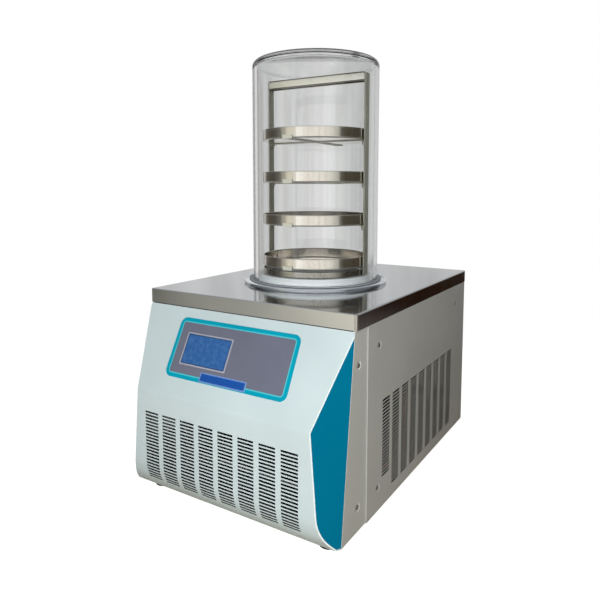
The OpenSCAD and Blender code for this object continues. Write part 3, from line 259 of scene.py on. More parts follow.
MATERIALS = {
    "front_paint": powder_paint("front_paint", (0.595, 0.705, 0.725)),
    # A lighter copy of the front paint for the bevels along the side edges: painted highlight
    "front_edge_painted_highlight": powder_paint("front_edge_painted_highlight", (0.86, 0.97, 1.0), shade=0.02),
    "teal_paint": powder_paint("teal_paint", (0.0, 0.16, 0.28), roughness=0.55, coat=0.0, specular=0.03),
    "side_paint": powder_paint("side_paint", (0.57, 0.585, 0.555)),
    "panel_paint": powder_paint("panel_paint", (0.51, 0.52, 0.50)),
    # A darker copy of the panel paint for the front fold: painted shade
    "fold_painted_shade": powder_paint("fold_painted_shade", (0.42, 0.43, 0.41)),
    # Near-black paint on the slot walls: painted shade for the dark inside the slots, which carry the
    # panel's own paint
    "vent_painted_shade": powder_paint("vent_painted_shade", (0.035, 0.035, 0.034), roughness=0.7, coat=0.0, specular=0.05),
    "inner_paint": powder_paint("inner_paint", (0.07, 0.07, 0.07), roughness=0.5),
    "black_paint": powder_paint("black_paint", (0.015, 0.015, 0.017), roughness=0.3),
    "plate_steel": steel("plate_steel", (0.60, 0.615, 0.63), 0.1, (1.0, 14.0, 1.0), 40.0),
    "ground_steel": steel("ground_steel", (0.58, 0.57, 0.54), 0.34, (1.0, 1.0, 22.0), 60.0, 0.12),
    "flange_steel": steel("flange_steel", (0.9, 0.93, 0.98), 0.16),
    "tray_steel": steel("tray_steel", (0.72, 0.69, 0.64), 0.12, (30.0, 30.0, 1.0), 12.0),
    "rack_steel": steel("rack_steel", (0.58, 0.59, 0.52), 0.46, (20.0, 20.0, 1.0), 30.0),
    "bar_steel": steel("bar_steel", (0.8, 0.81, 0.79), 0.2, (1.0, 20.0, 20.0), 30.0),
    # Dark steel for the crossbar's lips: painted shade along its top and bottom edges
    "lip_painted_shade": steel("lip_painted_shade", (0.13, 0.12, 0.1), 0.35),
    "hoop_steel": steel(
        "hoop_steel", (0.42, 0.41, 0.37), 0.22, (30.0, 30.0, 1.0), 14.0, spread=0.1, tint=0.3
    ),
    "tab_steel": plastic("tab_steel", (0.7, 0.71, 0.62), 0.5, Metallic=0.4),
    "screw_steel": steel("screw_steel", (0.5, 0.5, 0.51), 0.35),
    "fin_aluminium": steel("fin_aluminium", (0.6, 0.61, 0.63), 0.4),
    "copper": steel("copper", (0.72, 0.36, 0.22), 0.3),
    "brass": steel("brass", (0.72, 0.55, 0.26), 0.25),
    "black_rubber": plastic("black_rubber", (0.012, 0.012, 0.013), 0.6),
    "grey_rubber": plastic("grey_rubber", (0.46, 0.5, 0.53), 0.45),
    "clear_hose": plastic("clear_hose", (0.6, 0.58, 0.52), 0.35),
    "overlay_film": plastic("overlay_film", (0.165, 0.175, 0.235), 0.35, Specular_IOR_Level=0.25),
    "overlay_border": plastic("overlay_border", (0.0, 0.36, 0.5), 0.35, Specular_IOR_Level=0.2),
    # A lighter cyan line along the inside of the teal border: painted highlight of a raised frame's edge
    "overlay_painted_highlight": plastic("overlay_painted_highlight", (0.08, 0.58, 0.68), 0.3),
    "display_bezel": plastic("display_bezel", (0.40, 0.42, 0.50), 0.35),
    "display_blue": mottled("display_blue", (0.028, 0.115, 0.34), (0.05, 0.155, 0.39), 0.25),
    "display_dark": plastic("display_dark", (0.02, 0.05, 0.14), 0.2),
    "label_blue": plastic("label_blue", (0.01, 0.085, 0.38), 0.3, Specular_IOR_Level=0.25),
    "label_line": plastic("label_line", (0.25, 0.4, 0.75), 0.3),
    "board_green": plastic("board_green", (0.02, 0.12, 0.05), 0.4),
    "white_plastic": plastic("white_plastic", (0.74, 0.79, 0.81), 0.3),
    "clear_acrylic": clear("clear_acrylic", (0.97, 0.98, 0.98), 0.0, 1.49),
    "foam": plastic("foam", (0.03, 0.03, 0.03), 0.8, 300.0, 0.6),
    "black_plastic": plastic("black_plastic", (0.02, 0.02, 0.02), 0.45),
    "red_plastic": plastic("red_plastic", (0.5, 0.02, 0.015), 0.35),
}


def dress_nodes():
    """Gives every CAD node the material of its slot in the record."""
    for node, slot in SLOT_OF.items():
        mesh = NODES[node].data
        mesh.materials.clear()
        mesh.materials.append(MATERIALS[slot])


# ---------------------------------------------------------------------------------------------
# Mesh helpers
# ---------------------------------------------------------------------------------------------
# Metres within which two vertices of the CAD's meshes are one
SAME_PLACE = 2e-6
SHARP_FOLD = math.radians(32.0)
# Least share of a normal along a direction for a face to count as facing that way
FACING = 0.99
# Largest share of a slot wall's normal along the axis that the sheet faces
SLOT_WALL = 0.72
# What the scene adds to the CAD's slots, at each wall, and to the depth of its dimples
PUNCH = 0.3
DEEPER = 0.7
DIMPLE_R = 7.5
DIMPLE_REACH = 9.0
# Radius and depth of each round of a dish pressed into a side strip at a screw
DISH = ((8.6, 0.0), (8.0, 0.0), (7.5, 0.2), (6.2, 1.3), (5.7, 1.6), (5.2, 1.7))


def piece(name, bm, slots, nodes=(), sharp=35.0, weighted=False, extra=()):
    """Turns a bmesh into a piece with the materials of its slots and of the extra names, on the body
    of what it stands for."""
    bmesh.ops.recalc_face_normals(bm, faces=bm.faces)
    mesh = bpy.data.meshes.new(name)
    bm.to_mesh(mesh)
    bm.free()
    obj = bpy.data.objects.new(name, mesh)
    bpy.context.scene.collection.objects.link(obj)
    for slot in (*slots, *extra):
        mesh.materials.append(MATERIALS[slot])
    mesh.shade_smooth()
    if weighted:
        bend = obj.modifiers.new("normals", "WEIGHTED_NORMAL")
        bend.keep_sharp = True
        bend.weight = 90
    mesh.set_sharp_from_angle(angle=math.radians(sharp))
    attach(obj, body_of(NODES[nodes[0]])[0] if nodes else "root")
    if nodes:
        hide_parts(*nodes)
    return obj


def filleted(corners, steps=5):
    """A closed outline of (x, y, radius) corners, each rounded by an arc of that radius."""
    points = []
    for index, (x, y, radius) in enumerate(corners):
        corner = Vector((x, y))
        if radius == 0:
            points.append(corner)
            continue
        before = (Vector(corners[index - 1][:2]) - corner).normalized()
        after = (Vector(corners[(index + 1) % len(corners)][:2]) - corner).normalized()
        half = before.angle(after) / 2
        middle = corner + (before + after).normalized() * radius / math.sin(half)
        start = (corner + before * radius / math.tan(half) - middle).normalized()
        end = (corner + after * radius / math.tan(half) - middle).normalized()
        points += [middle + start.slerp(end, step / steps) * radius for step in range(steps + 1)]
    return points


def frame_outline(low, high, radius, inset=0.0, steps=7):
    """A rounded rectangle between two corners, drawn in by inset."""
    x0, y0, x1, y1 = low[0] + inset, low[1] + inset, high[0] - inset, high[1] - inset
    r = max(radius - inset, 0.05)
    return filleted([(x0, y0, r), (x1, y0, r), (x1, y1, r), (x0, y1, r)], steps)


def circle(x, y, radius, steps):
    """Points round a circle."""
    turns = (2 * math.pi * i / steps for i in range(steps))
    return [Vector((x + radius * math.cos(turn), y + radius * math.sin(turn))) for turn in turns]


def loop_verts(bm, outline, z, place):
    """Vertices for an outline in millimetres at a height over a matrix's plane."""
    return [bm.verts.new(place @ (Vector((p[0], p[1], z)) * MM)) for p in outline]


def band(bm, low, high, material=0):
    """Quads between two loops of as many vertices."""
    count = len(low)
    for i in range(count):
        j = (i + 1) % count
        bm.faces.new((low[i], low[j], high[j], high[i])).material_index = material


def flat(bm, loops, material=0):
    """Fills the flat area inside the first loop and outside the others."""
    verts = [vert for loop in loops for vert in loop]
    for corners in tessellate_polygon([[vert.co for vert in loop] for loop in loops]):
        bm.faces.new([verts[i] for i in corners]).material_index = material


def lathe(name, outline, slot, nodes=(), steps=128, middle=AXIS, sharp=35.0):
    """Turns a closed outline of (radius, height) points about an upright axis."""
    bm = bmesh.new()
    rings = []
    for i in range(steps):
        turn = 2 * math.pi * i / steps
        rings.append([
            bm.verts.new(at(middle.x + p[0] * math.cos(turn), middle.y + p[0] * math.sin(turn), p[1]))
            for p in outline
        ])
    for i in range(steps):
        band(bm, rings[i], rings[(i + 1) % steps])
    bmesh.ops.remove_doubles(bm, verts=bm.verts, dist=1e-7)
    piece(name, bm, (slot,), nodes, sharp, weighted=True)


def round_edges(bm, edges, width, segments=2):
    bmesh.ops.bevel(
        bm, geom=edges, offset=width * MM, offset_type="OFFSET", segments=segments, profile=0.5,
        affect="EDGES", clamp_overlap=True,
    )


def soft_box(bm, low, high, place, width=0.3, material=0):
    """A box between two corners in millimetres, set by a matrix, with its edges rounded off."""
    corners = [(low[0], low[1]), (high[0], low[1]), (high[0], high[1]), (low[0], high[1])]
    bottom = loop_verts(bm, corners, low[2], place)
    top = loop_verts(bm, corners, high[2], place)
    band(bm, bottom, top, material)
    bm.faces.new(bottom[::-1]).material_index = material
    bm.faces.new(top).material_index = material
    edges = dict.fromkeys(edge for vert in bottom + top for edge in vert.link_edges)
    round_edges(bm, list(edges), width)


def tube(bm, points, radius, sides=12):
    """A round bar through points given in metres."""
    rings = []
    for i, point in enumerate(points):
        along = (points[min(i + 1, len(points) - 1)] - points[max(i - 1, 0)]).normalized()
        side = along.cross(Vector((0.3, 0.5, 0.8))).normalized()
        up = along.cross(side)
        rings.append([
            bm.verts.new(point + (side * math.cos(a) + up * math.sin(a)) * radius * MM)
            for a in (2 * math.pi * k / sides for k in range(sides))
        ])
    for low, high in zip(rings, rings[1:]):
        band(bm, low, high)
    bm.faces.new(rings[0][::-1])
    bm.faces.new(rings[-1])


def outer_line(bm, faces):
    """The vertices round the outside of a flat set of faces, in order: of its closed lines, the one
    that reaches farthest up and down."""
    rim = [edge for edge in bm.edges if sum(face in faces for face in edge.link_faces) == 1]
    lines = []
    while rim:
        edge = rim.pop(0)
        line = list(edge.verts)
        while edge:
            edge = next((other for other in line[-1].link_edges if other in rim), None)
            if edge:
                rim.remove(edge)
                line.append(edge.other_vert(line[-1]))
        lines.append(line[:-1])
    return max(lines, key=lambda line: max(v.co.z for v in line) - min(v.co.z for v in line))


def press(bm, dishes):
    """Draws the flat face that the matrices stand on anew, with a dish pressed in round each. The
    walls of its screw holes stay."""
    way = dishes[0].to_3x3() @ Vector((0.0, 0.0, 1.0))
    bm.normal_update()
    old = [face for face in bm.faces if face.normal.dot(way) > FACING]
    outline = outer_line(bm, old)
    bmesh.ops.delete(bm, geom=old, context="FACES_ONLY")
    face = bm.faces.new(outline)
    face.normal_update()
    bmesh.ops.inset_individual(bm, faces=[face], thickness=MM)
    edge = [loop.vert for loop in face.loops]
    bmesh.ops.delete(bm, geom=[face], context="FACES_ONLY")
    rims = []
    for place in dishes:
        loops = [loop_verts(bm, circle(0.0, 0.0, r, 40), -depth, place) for r, depth in DISH]
        for wide, narrow in zip(loops, loops[1:]):
            band(bm, wide, narrow)
        bm.faces.new(loops[-1])
        rims.append(loops[0])
    flat(bm, [edge, *rims])


def sink(bm, dishes):
    """Presses the dimples that the CAD already has deeper."""
    for place in dishes:
        back = place.inverted()
        inward = place.to_3x3() @ Vector((0.0, 0.0, -DEEPER * MM))
        for vert in bm.verts:
            spot = (back @ vert.co) / MM
            if math.hypot(spot.x, spot.y) < DIMPLE_R and spot.z > -DIMPLE_REACH:
                vert.co += inward


def in_vents(vents, spot, way):
    """Whether a face with this middle and normal is a wall of the slots cut through a sheet. The
    vents are given as the corners of their box in millimetres and the axis that the sheet faces."""
    low, high, axis = vents
    return abs(way[axis]) < SLOT_WALL and all(low[k] < spot[k] < high[k] for k in range(3))


def open_vents(bm, vents):
    """Widens slots a little, as the round that punching leaves at their rims does."""
    bm.normal_update()
    moves = {}
    for face in bm.faces:
        if in_vents(vents, (face.calc_center_median() - ORIGIN) / MM, face.normal):
            for vert in face.verts:
                moves.setdefault(vert, []).append(face.normal.copy())
    for vert, ways in moves.items():
        vert.co -= sum(ways, Vector()).normalized() * PUNCH * MM


def softened(node, width=0.4, segments=2, extra=(), choose=None, shape=None, vents=None):
    """A copy of a CAD node whose sharp edges are broken by a small round, as bent or moulded. Where
    given, vents are slots to widen, shape works on the rounded mesh, and choose picks each face's
    material from its middle in millimetres and its normal."""
    bm = bmesh.new()
    bm.from_mesh(NODES[node].data)
    bmesh.ops.remove_doubles(bm, verts=bm.verts, dist=SAME_PLACE)
    bmesh.ops.dissolve_limit(bm, angle_limit=math.radians(1.0), verts=bm.verts, edges=bm.edges)
    if vents:
        open_vents(bm, vents)
    edges = [
        edge for edge in bm.edges
        if len(edge.link_faces) == 2 and edge.calc_face_angle(0.0) > SHARP_FOLD
    ]
    round_edges(bm, edges, width, segments)
    if shape:
        shape(bm)
    slots = (PAINT_OF.get(node, SLOT_OF[node]),)
    if choose:
        for face in bm.faces:
            face.material_index = choose((face.calc_center_median() - ORIGIN) / MM, face.normal)
    shell = piece(node + "_shell", bm, slots, (node,), 50.0, weighted=True, extra=extra)


def islands(node):
    """The (low, high) corners in millimetres of each separate solid of a CAD node."""
    bm = bmesh.new()
    bm.from_mesh(NODES[node].data)
    bmesh.ops.remove_doubles(bm, verts=bm.verts, dist=SAME_PLACE)
    seen = set()
    found = []
    for first in bm.verts:
        if first in seen:
            continue
        seen.add(first)
        group = [first]
        for vert in group:
            for edge in vert.link_edges:
                other = edge.other_vert(vert)
                if other not in seen:
                    seen.add(other)
                    group.append(other)
        spots = [(vert.co - ORIGIN) / MM for vert in group]
        found.append([Vector([pick(s[k] for s in spots) for k in range(3)]) for pick in (min, max)])
    bm.free()
    return found


# ---------------------------------------------------------------------------------------------
# Control panel, on the leaning face
# ---------------------------------------------------------------------------------------------
LEAN = math.radians(28.0)
SKIRT = -node_box("top_plate")[0].z
FACE = Matrix.Translation(at(0.0, 0.0, -SKIRT)) @ Matrix.Rotation(math.pi / 2 - LEAN, 4, "X")
OVERLAY_RADIUS = 13.0
BEZEL_RADIUS = 1.2
SCREEN_RADIUS = 0.4
LABEL_RADIUS = 1.5
BORDER = 8.5
# Width of the painted highlight line inside the teal border
BORDER_LINE = 2.0
SCREEN_BORDER = 1.4
EDGE = 0.25


def face_box(node):
    """A node's corners in millimetres, in the frame of the leaning face."""
    back = FACE.inverted()
    spots = [(back @ vert.co) / MM for vert in NODES[node].data.vertices]
    return [Vector([pick(s[k] for s in spots) for k in range(3)]) for pick in (min, max)]


def slab(bm, low, high, radius, insets, hole=None):
    """A thin rounded plate on the face: its rim, then one band per (inset, material), then the field,
    which takes the last pair's material. A hole is given as its own rounded outline."""
    bottom = loop_verts(bm, frame_outline(low, high, radius), low.z, FACE)
    rim = loop_verts(bm, frame_outline(low, high, radius), high.z - EDGE, FACE)
    last = loop_verts(bm, frame_outline(low, high, radius, EDGE), high.z, FACE)
    band(bm, bottom, rim, insets[0][1])
    band(bm, rim, last, insets[0][1])
    for inset, material in insets[:-1]:
        following = loop_verts(bm, frame_outline(low, high, radius, inset), high.z, FACE)
        band(bm, last, following, material)
        last = following
    if hole:
        top = loop_verts(bm, hole, high.z, FACE)
        under = loop_verts(bm, hole, low.z, FACE)
        flat(bm, [last, top], insets[-1][1])
        band(bm, top, under, insets[-1][1])
        flat(bm, [bottom, under], insets[-1][1])
    else:
        bm.faces.new(last).material_index = insets[-1][1]
        bm.faces.new(bottom[::-1]).material_index = insets[-1][1]


def make_control_panel():
    low, high = face_box("panel_overlay")
    frame_low, frame_high = face_box("display_frame")
    bm = bmesh.new()
    window = frame_outline(frame_low, frame_high, 0.3, -0.1)
    slab(bm, low, high, OVERLAY_RADIUS, [(BORDER - BORDER_LINE, 1), (BORDER, 2), (0, 0)], window)
    piece(
        "control_overlay", bm, ("overlay_film",), ("panel_overlay",),
        extra=("overlay_border", "overlay_painted_highlight"),
    )

    screen_low, screen_high = face_box("display_screen")
    lip = screen_low.x - frame_low.x
    bm = bmesh.new()
    window = frame_outline(screen_low, screen_high, SCREEN_RADIUS, -0.15)
    slab(bm, frame_low, frame_high, BEZEL_RADIUS, [(lip * 0.45, 0), (0, 0)], window)
    piece("display_bezel_ring", bm, ("display_bezel",), ("display_frame",))

    bm = bmesh.new()
    slab(bm, screen_low, screen_high, SCREEN_RADIUS, [(SCREEN_BORDER, 1), (0, 0)])
    piece("display_window", bm, ("display_blue",), ("display_screen",), extra=("display_dark",))

    low, high = face_box("label_plate")
    bm = bmesh.new()
    slab(bm, low, high, LABEL_RADIUS, [(1.1, 1), (1.7, 0), (2.2, 1), (0, 0)])
    piece("blank_label", bm, ("label_blue",), ("label_plate",), extra=("label_line",))


# ---------------------------------------------------------------------------------------------
# Top plate
# ---------------------------------------------------------------------------------------------
PLATE_T = 1.5
PLATE_FOLD = 2.2
PLATE_CORNER = 2.6
FOLD_STEPS = 5
HOLE_ROUND = 0.4
# Width of the ground weld on each side of a corner
WELD_BAND = 2.5
MOUTH_R = 112.0


def plate_outline(low, high, inset):
    """The plate's rounded outline, with points at the ends of the ground bands beside its corners,
    and how many points each of its sides has."""
    points = []
    rounded = frame_outline(low, high, PLATE_CORNER, inset, 5)
    side = len(rounded) // 4
    for corner in range(4):
        points += rounded[corner * side:(corner + 1) * side]
        here, there = points[-1], rounded[((corner + 1) * side) % len(rounded)]
        along = (there - here).normalized()
        points += [here + along * WELD_BAND, there - along * WELD_BAND]
    return points, side + 2


def make_top_plate():
    low, high = node_box("top_plate")
    lift = Matrix.Translation(ORIGIN)
    bm = bmesh.new()
    loops = []
    outline, per_side = plate_outline(low, high, 0.0)
    heights = [(0.0, low.z)]
    for step in range(FOLD_STEPS + 1):
        turn = math.pi / 2 * step / FOLD_STEPS
        heights.append((PLATE_FOLD * (1 - math.cos(turn)), PLATE_FOLD * (math.sin(turn) - 1)))
    for inset, z in heights:
        loops.append(loop_verts(bm, plate_outline(low, high, inset)[0], z, lift))
    count = len(outline)
    for below, above in zip(loops, loops[1:]):
        for i in range(count):
            j = (i + 1) % count
            ground = i % per_side != per_side - 2
            bm.faces.new((below[i], below[j], above[j], above[i])).material_index = 1 if ground else 0
    inner_low = loop_verts(bm, plate_outline(low, high, PLATE_T)[0], low.z, lift)
    inner_top = loop_verts(bm, plate_outline(low, high, PLATE_T)[0], -PLATE_T, lift)
    band(bm, loops[0], inner_low)
    band(bm, inner_low, inner_top)
    hole_top, hole_edge, hole_low = (
        loop_verts(bm, circle(AXIS.x, AXIS.y, MOUTH_R + grow, 128), z, lift)
        for grow, z in ((HOLE_ROUND, 0.0), (0.0, -HOLE_ROUND), (0.0, -PLATE_T))
    )
    flat(bm, [loops[-1], hole_top])
    band(bm, hole_top, hole_edge)
    band(bm, hole_edge, hole_low)
    flat(bm, [inner_top, hole_low])
    piece("work_top", bm, ("plate_steel",), ("top_plate",), 40.0, weighted=True, extra=("ground_steel",))


# ---------------------------------------------------------------------------------------------
# Mouth of the trap, jar, trays and rack
# ---------------------------------------------------------------------------------------------
JAR_WALL = 8.7
JAR_SHOULDER = 13.0
JAR_DOME = 5.0
JAR_TOP = 12.0
JAR_INNER_ROUND = 5.0
BEAD_R = 1.2
# How far the flange's rim hangs below its flat top
RIM_DROP = 3.0
FLANGE_T = 1.5
# Clear space between pieces that rest on one another
REST = 0.1
# A step too small to see, which keeps two surfaces of a piece out of one plane
HAIR = 0.1
COLLAR_BORE_R = 98.0
COLLAR_FLAT_R = 111.0
COLLAR_SIDE_TOP = 12.4


def dome(radius, z, rise, steps=10):
    """Points from the edge of a flat dome to its middle."""
    spots = [radius * (1 - i / steps) for i in range(steps + 1)]
    return [Vector((r, z + rise * (1 - (r / radius) ** 2))) for r in spots]


def make_jar():
    outer = half_width(JAR_LOW, JAR_HIGH)
    inner = outer - JAR_WALL
    shoulder = JAR_HIGH.z - JAR_DOME
    ceiling = shoulder - JAR_TOP
    outside = filleted([
        (inner, JAR_LOW.z, 0.0), (outer, JAR_LOW.z, 1.2), (outer, shoulder, JAR_SHOULDER),
        (0.0, shoulder, 0.0), (0.0, JAR_LOW.z, 0.0),
    ], 12)[:-2]
    inside = filleted([
        (inner, JAR_LOW.z, 0.0), (inner, ceiling, JAR_INNER_ROUND), (0.0, ceiling, 0.0),
        (0.0, JAR_LOW.z, 0.0),
    ], 8)[1:-2]
    outside += dome(outer - JAR_SHOULDER, shoulder, JAR_DOME)[1:]
    inside += dome(inner - JAR_INNER_ROUND, ceiling, JAR_DOME * 0.6)[1:]
    lathe("jar_glass", outside + inside[::-1], "clear_acrylic", ("bell_jar",), 224, sharp=60.0)


def make_mouth():
    """The flange with its rolled rim, the gasket on it and the collar inside."""
    low, high = node_box("seal_flange")
    gasket_low, gasket_high = node_box("jar_gasket")
    gasket_r = half_width(gasket_low, gasket_high)
    inner = half_width(JAR_LOW, JAR_HIGH) - JAR_WALL - 0.5
    rim_r = half_width(low, high) - BEAD_R
    plinth = gasket_r - BEAD_R
    top = gasket_low.z - REST
    under = top - FLANGE_T
    roll_z = high.z - RIM_DROP - BEAD_R
    roll = [
        Vector((rim_r + BEAD_R * math.sin(a), roll_z - BEAD_R * math.cos(a)))
        for a in (math.radians(10 + 300 * i / 20) for i in range(21))
    ]
    below = [(inner, low.z), (plinth, low.z), (plinth, under), (rim_r, under - RIM_DROP)]
    above = [(rim_r - BEAD_R - 1.0, top - RIM_DROP), (plinth, top), (inner, top)]
    outline = [*map(Vector, below), *roll, *map(Vector, above)]
    lathe("seal_ring", outline, "flange_steel", ("seal_flange",), 192, sharp=50.0)

    lathe("jar_seal", filleted([
        (inner + 0.5, gasket_low.z, 0.3), (gasket_r, gasket_low.z, 0.4), (gasket_r, gasket_high.z, 0.5),
        (inner + 0.5, gasket_high.z, 0.3),
    ]), "grey_rubber", ("jar_gasket",), 160)

    low, high = node_box("trap_collar")
    outer = half_width(low, high)
    lathe("mouth_collar", filleted([
        (COLLAR_BORE_R, low.z, 0.0), (MOUTH_R - 0.3, low.z, 0.0), (MOUTH_R - 0.3, REST, 0.0),
        (outer, REST, 0.0), (outer, COLLAR_SIDE_TOP, 2.5), (COLLAR_FLAT_R, high.z, 2.5),
        (COLLAR_BORE_R, high.z, 2.0),
    ], 6), "white_plastic", ("trap_collar",), 192, sharp=50.0)


TRAY_SHEET = 1.0
TRAY_FOOT = 3.2
TRAY_HEM = 1.1
TRAYS = tuple(f"tray_{i}" for i in (1, 2, 3, 4))


def make_trays():
    """Round trays with a rounded foot and a hem rolled inward at the rim."""
    for name in TRAYS:
        low, high = node_box(name)
        outer = half_width(low, high)
        inner = outer - TRAY_SHEET
        floor = low.z + TRAY_SHEET
        rim = [
            Vector((outer + TRAY_HEM * (math.cos(a) - 1), high.z + TRAY_HEM * (math.sin(a) - 1)))
            for a in (math.radians(-40 + 220 * i / 10) for i in range(11))
        ]
        outline = [Vector((0.0, low.z))] + filleted([
            (outer, low.z, TRAY_FOOT), (outer, high.z, 0.0), (0.0, high.z, 0.0), (0.0, low.z, 0.0),
        ], 6)[:-3]
        outline += rim + [Vector((inner, high.z - 2 * TRAY_HEM))]
        outline += filleted([
            (inner, floor, TRAY_FOOT - TRAY_SHEET), (0.0, floor, 0.0), (0.0, high.z, 0.0),
            (inner, high.z, 0.0),
        ], 6)[:-2]
        lathe(name.replace("tray", "drying_tray"), outline, "tray_steel", (name,), 160)


RACK_TURN = math.radians(2.0)
CROSSBAR_H = 17.0
CROSSBAR_SHEET = 1.5
# Lips along the crossbar's long edges: their height, and how far they stand out from it. They take a dark
# steel as painted shade along the bar's top and bottom.
LIP_H = 2.4
LIP_OUT = 0.8
UPRIGHT_T = 3.0
UPRIGHT_D = 18.0
# Heights of the weld lines across each upright
WELD_LINES = (83.0, 144.0, 205.0, 266.0, 327.0)
WELD_OUT = 0.2
WELD_H = 1.1
# Ledges under the tray supports, and the wire curls below them
LEDGE_START = 102.5
LEDGE_D = 12.0
LEDGE_T = 2.0
CURL_MIDDLE = 105.5
CURL_R = 3.4
CURL_WIRE = 1.1
CURL_DROP = 4.6
# Least height of a support over the base ring for it to have a curl
CURL_ROOM = 20.0
SUPPORTS = tuple(f"tray_support_{i}" for i in (1, 2, 3, 4))
# How far the upturned tabs start above a support's underside
TAB_START = 1.6


def add_upright(bm, side, inner, low, high, supports):
    """An upright with its foot on the base ring, its ledges and curls, and its weld lines."""
    hoop_low, hoop_high = node_box("rack_base_ring")
    outer, deep = inner + UPRIGHT_T, UPRIGHT_D / 2
    soft_box(bm, (inner, -deep, low.z), (outer, deep, high.z), side, 0.5)
    soft_box(bm, (hoop_high.x - 6.0, -deep, low.z), (inner + 0.5, deep, hoop_low.z - REST), side, 0.4)
    for support_low, _ in supports:
        z = support_low.z - REST
        soft_box(
            bm, (LEDGE_START, -LEDGE_D / 2, z - LEDGE_T), (inner + 0.5, LEDGE_D / 2, z), side, 0.4
        )
        if support_low.z > hoop_high.z + CURL_ROOM:
            middle = Vector((CURL_MIDDLE, 0.0, z - CURL_DROP))
            curl = [
                side @ ((middle + Vector((math.sin(a), 0.0, math.cos(a))) * CURL_R) * MM)
                for a in (math.radians(40 - 250 * k / 10) for k in range(11))
            ]
            tube(bm, curl, CURL_WIRE, 10)
    for z in WELD_LINES:
        start = (inner - WELD_OUT, -deep - WELD_OUT, z)
        soft_box(bm, start, (outer + WELD_OUT, deep + WELD_OUT, z + WELD_H), side, 0.2, 1)


def add_crossbar(bm, along, inner, top):
    """A folded bar between the uprights: two upright sheets with lips in a dark steel that paints shade
    along its edges, and a flat one on top.
    """
    deep, reach = UPRIGHT_D / 2, inner + HAIR
    for y in (-deep, deep - CROSSBAR_SHEET):
        back = y + CROSSBAR_SHEET
        soft_box(bm, (-reach, y, top - CROSSBAR_H), (reach, back, top), along, 0.3, 2)
        # the lips take the dark steel of the painted shade
        for z in (top - LIP_H, top - CROSSBAR_H):
            soft_box(bm, (-inner, y - LIP_OUT, z), (inner, back + LIP_OUT, z + LIP_H), along, 0.3, 3)
    start = (-reach, -deep + 0.4, top - CROSSBAR_SHEET)
    soft_box(bm, start, (reach, deep - 0.4, top - HAIR), along, 0.3, 2)


def make_rack():
    low, high = node_box("rack_frame")
    outer = half_width(low, high) / math.cos(RACK_TURN) - UPRIGHT_D / 2 * math.tan(RACK_TURN)
    inner = outer - UPRIGHT_T
    supports = [node_box(name) for name in SUPPORTS]
    bm = bmesh.new()
    for half_turn in (0.0, math.pi):
        side = Matrix.Translation(at(*AXIS)) @ Matrix.Rotation(RACK_TURN + half_turn, 4, "Z")
        add_upright(bm, side, inner, low, high, supports)
    along = Matrix.Translation(at(*AXIS)) @ Matrix.Rotation(RACK_TURN, 4, "Z")
    add_crossbar(bm, along, inner, high.z + CROSSBAR_SHEET)
    piece(
        "rack_uprights", bm, ("rack_steel",), ("rack_frame",), 40.0, weighted=True,
        extra=("tab_steel", "bar_steel", "lip_painted_shade"),
    )
    softened("rack_base_ring", 0.3)
    for name, (support_low, _) in zip(SUPPORTS, supports):
        strip = support_low.z + TAB_START
        softened(
            name, 0.35, extra=("tab_steel",),
            choose=lambda spot, way, strip=strip: int(spot.z > strip),
        )


# ---------------------------------------------------------------------------------------------
# Feet and screws
# ---------------------------------------------------------------------------------------------
FOOT_CORNERS = ("front_left", "front_right", "rear_left", "rear_right")
FOOT_TAPER = 2.0
FOOT_RIBS = 4
RIB = 0.7
# The pocket for the bolt's head, and the bolt's hole above it
POCKET_R = 6.6
BOLT_R = 3.4
BOLT_FLOOR = 7.0


def make_feet():
    """Rubber feet that widen upward, with grooves round their sides."""
    for corner in FOOT_CORNERS:
        low, high = node_box("foot_" + corner)
        middle = (low + high) / 2
        outer = half_width(low, high)
        tall = high.z - low.z
        tip = outer - FOOT_TAPER
        side = []
        for i in range(FOOT_RIBS):
            z = low.z + 3.0 + i * (tall - 4.0) / FOOT_RIBS
            r = tip + FOOT_TAPER * (z - low.z) / tall
            side += [(r, z, 0.3), (r - RIB, z + 0.5, 0.2), (r - RIB, z + 1.6, 0.2), (r, z + 2.1, 0.3)]
        lathe("rubber_foot_" + corner, filleted([
            (POCKET_R, low.z, 0.5), (tip, low.z, 1.4), *side, (outer, high.z, 0.6),
            (BOLT_R, high.z, 0.0), (BOLT_R, high.z - BOLT_FLOOR, 0.0),
            (POCKET_R, high.z - BOLT_FLOOR, 0.0),
        ], 3), "black_rubber", ("foot_" + corner,), 64, middle)


def screw_head(bm, place, radius, height):
    """A pan head with a cross recess, its underside on the plane z = 0 of a matrix."""
    arm, half = radius * 0.62, radius * 0.13
    cross = [
        (arm, -half), (arm, half), (half, half), (half, arm), (-half, arm), (-half, half),
        (-arm, half), (-arm, -half), (-half, -half), (-half, -arm), (half, -arm), (half, -half),
    ]
    loops = [
        loop_verts(bm, circle(0.0, 0.0, radius * wide, 32), height * tall, place)
        for wide, tall in ((1.0, 0.0), (1.0, 0.45), (0.95, 0.7), (0.84, 0.9), (0.7, 1.0))
    ]
    for below, above in zip(loops, loops[1:]):
        band(bm, below, above)
    top = loop_verts(bm, cross, height, place)
    base = loop_verts(bm, cross, height * 0.35, place)
    flat(bm, [loops[-1], top])
    band(bm, top, base)
    bm.faces.new(base)
    bm.faces.new(loops[0][::-1])


# How much farther each screw is turned than the one before
SCREW_TURN = math.radians(37.0)
SCREW_SEAT = 1.8
SCREW_HEAD_H = 1.3
SHANK_R = 2.0
# How much lower a screw's head sits in a pressed dish than in the CAD
DISH_SEAT = 0.9
# How far from the rear panel's outside the rear screws can be
REAR_REACH = 12.0
# Width of the folded edge at the front of a side panel, which takes a darker copy of the paint as painted
# shade
SIDE_FOLD = 0.6
# How far inside a sheet's edges all its slots lie, and the limits of those in the front
VENT_INSET = 5.0
FRONT_VENT_TOP = -202.5
FRONT_VENT_X = 166.0


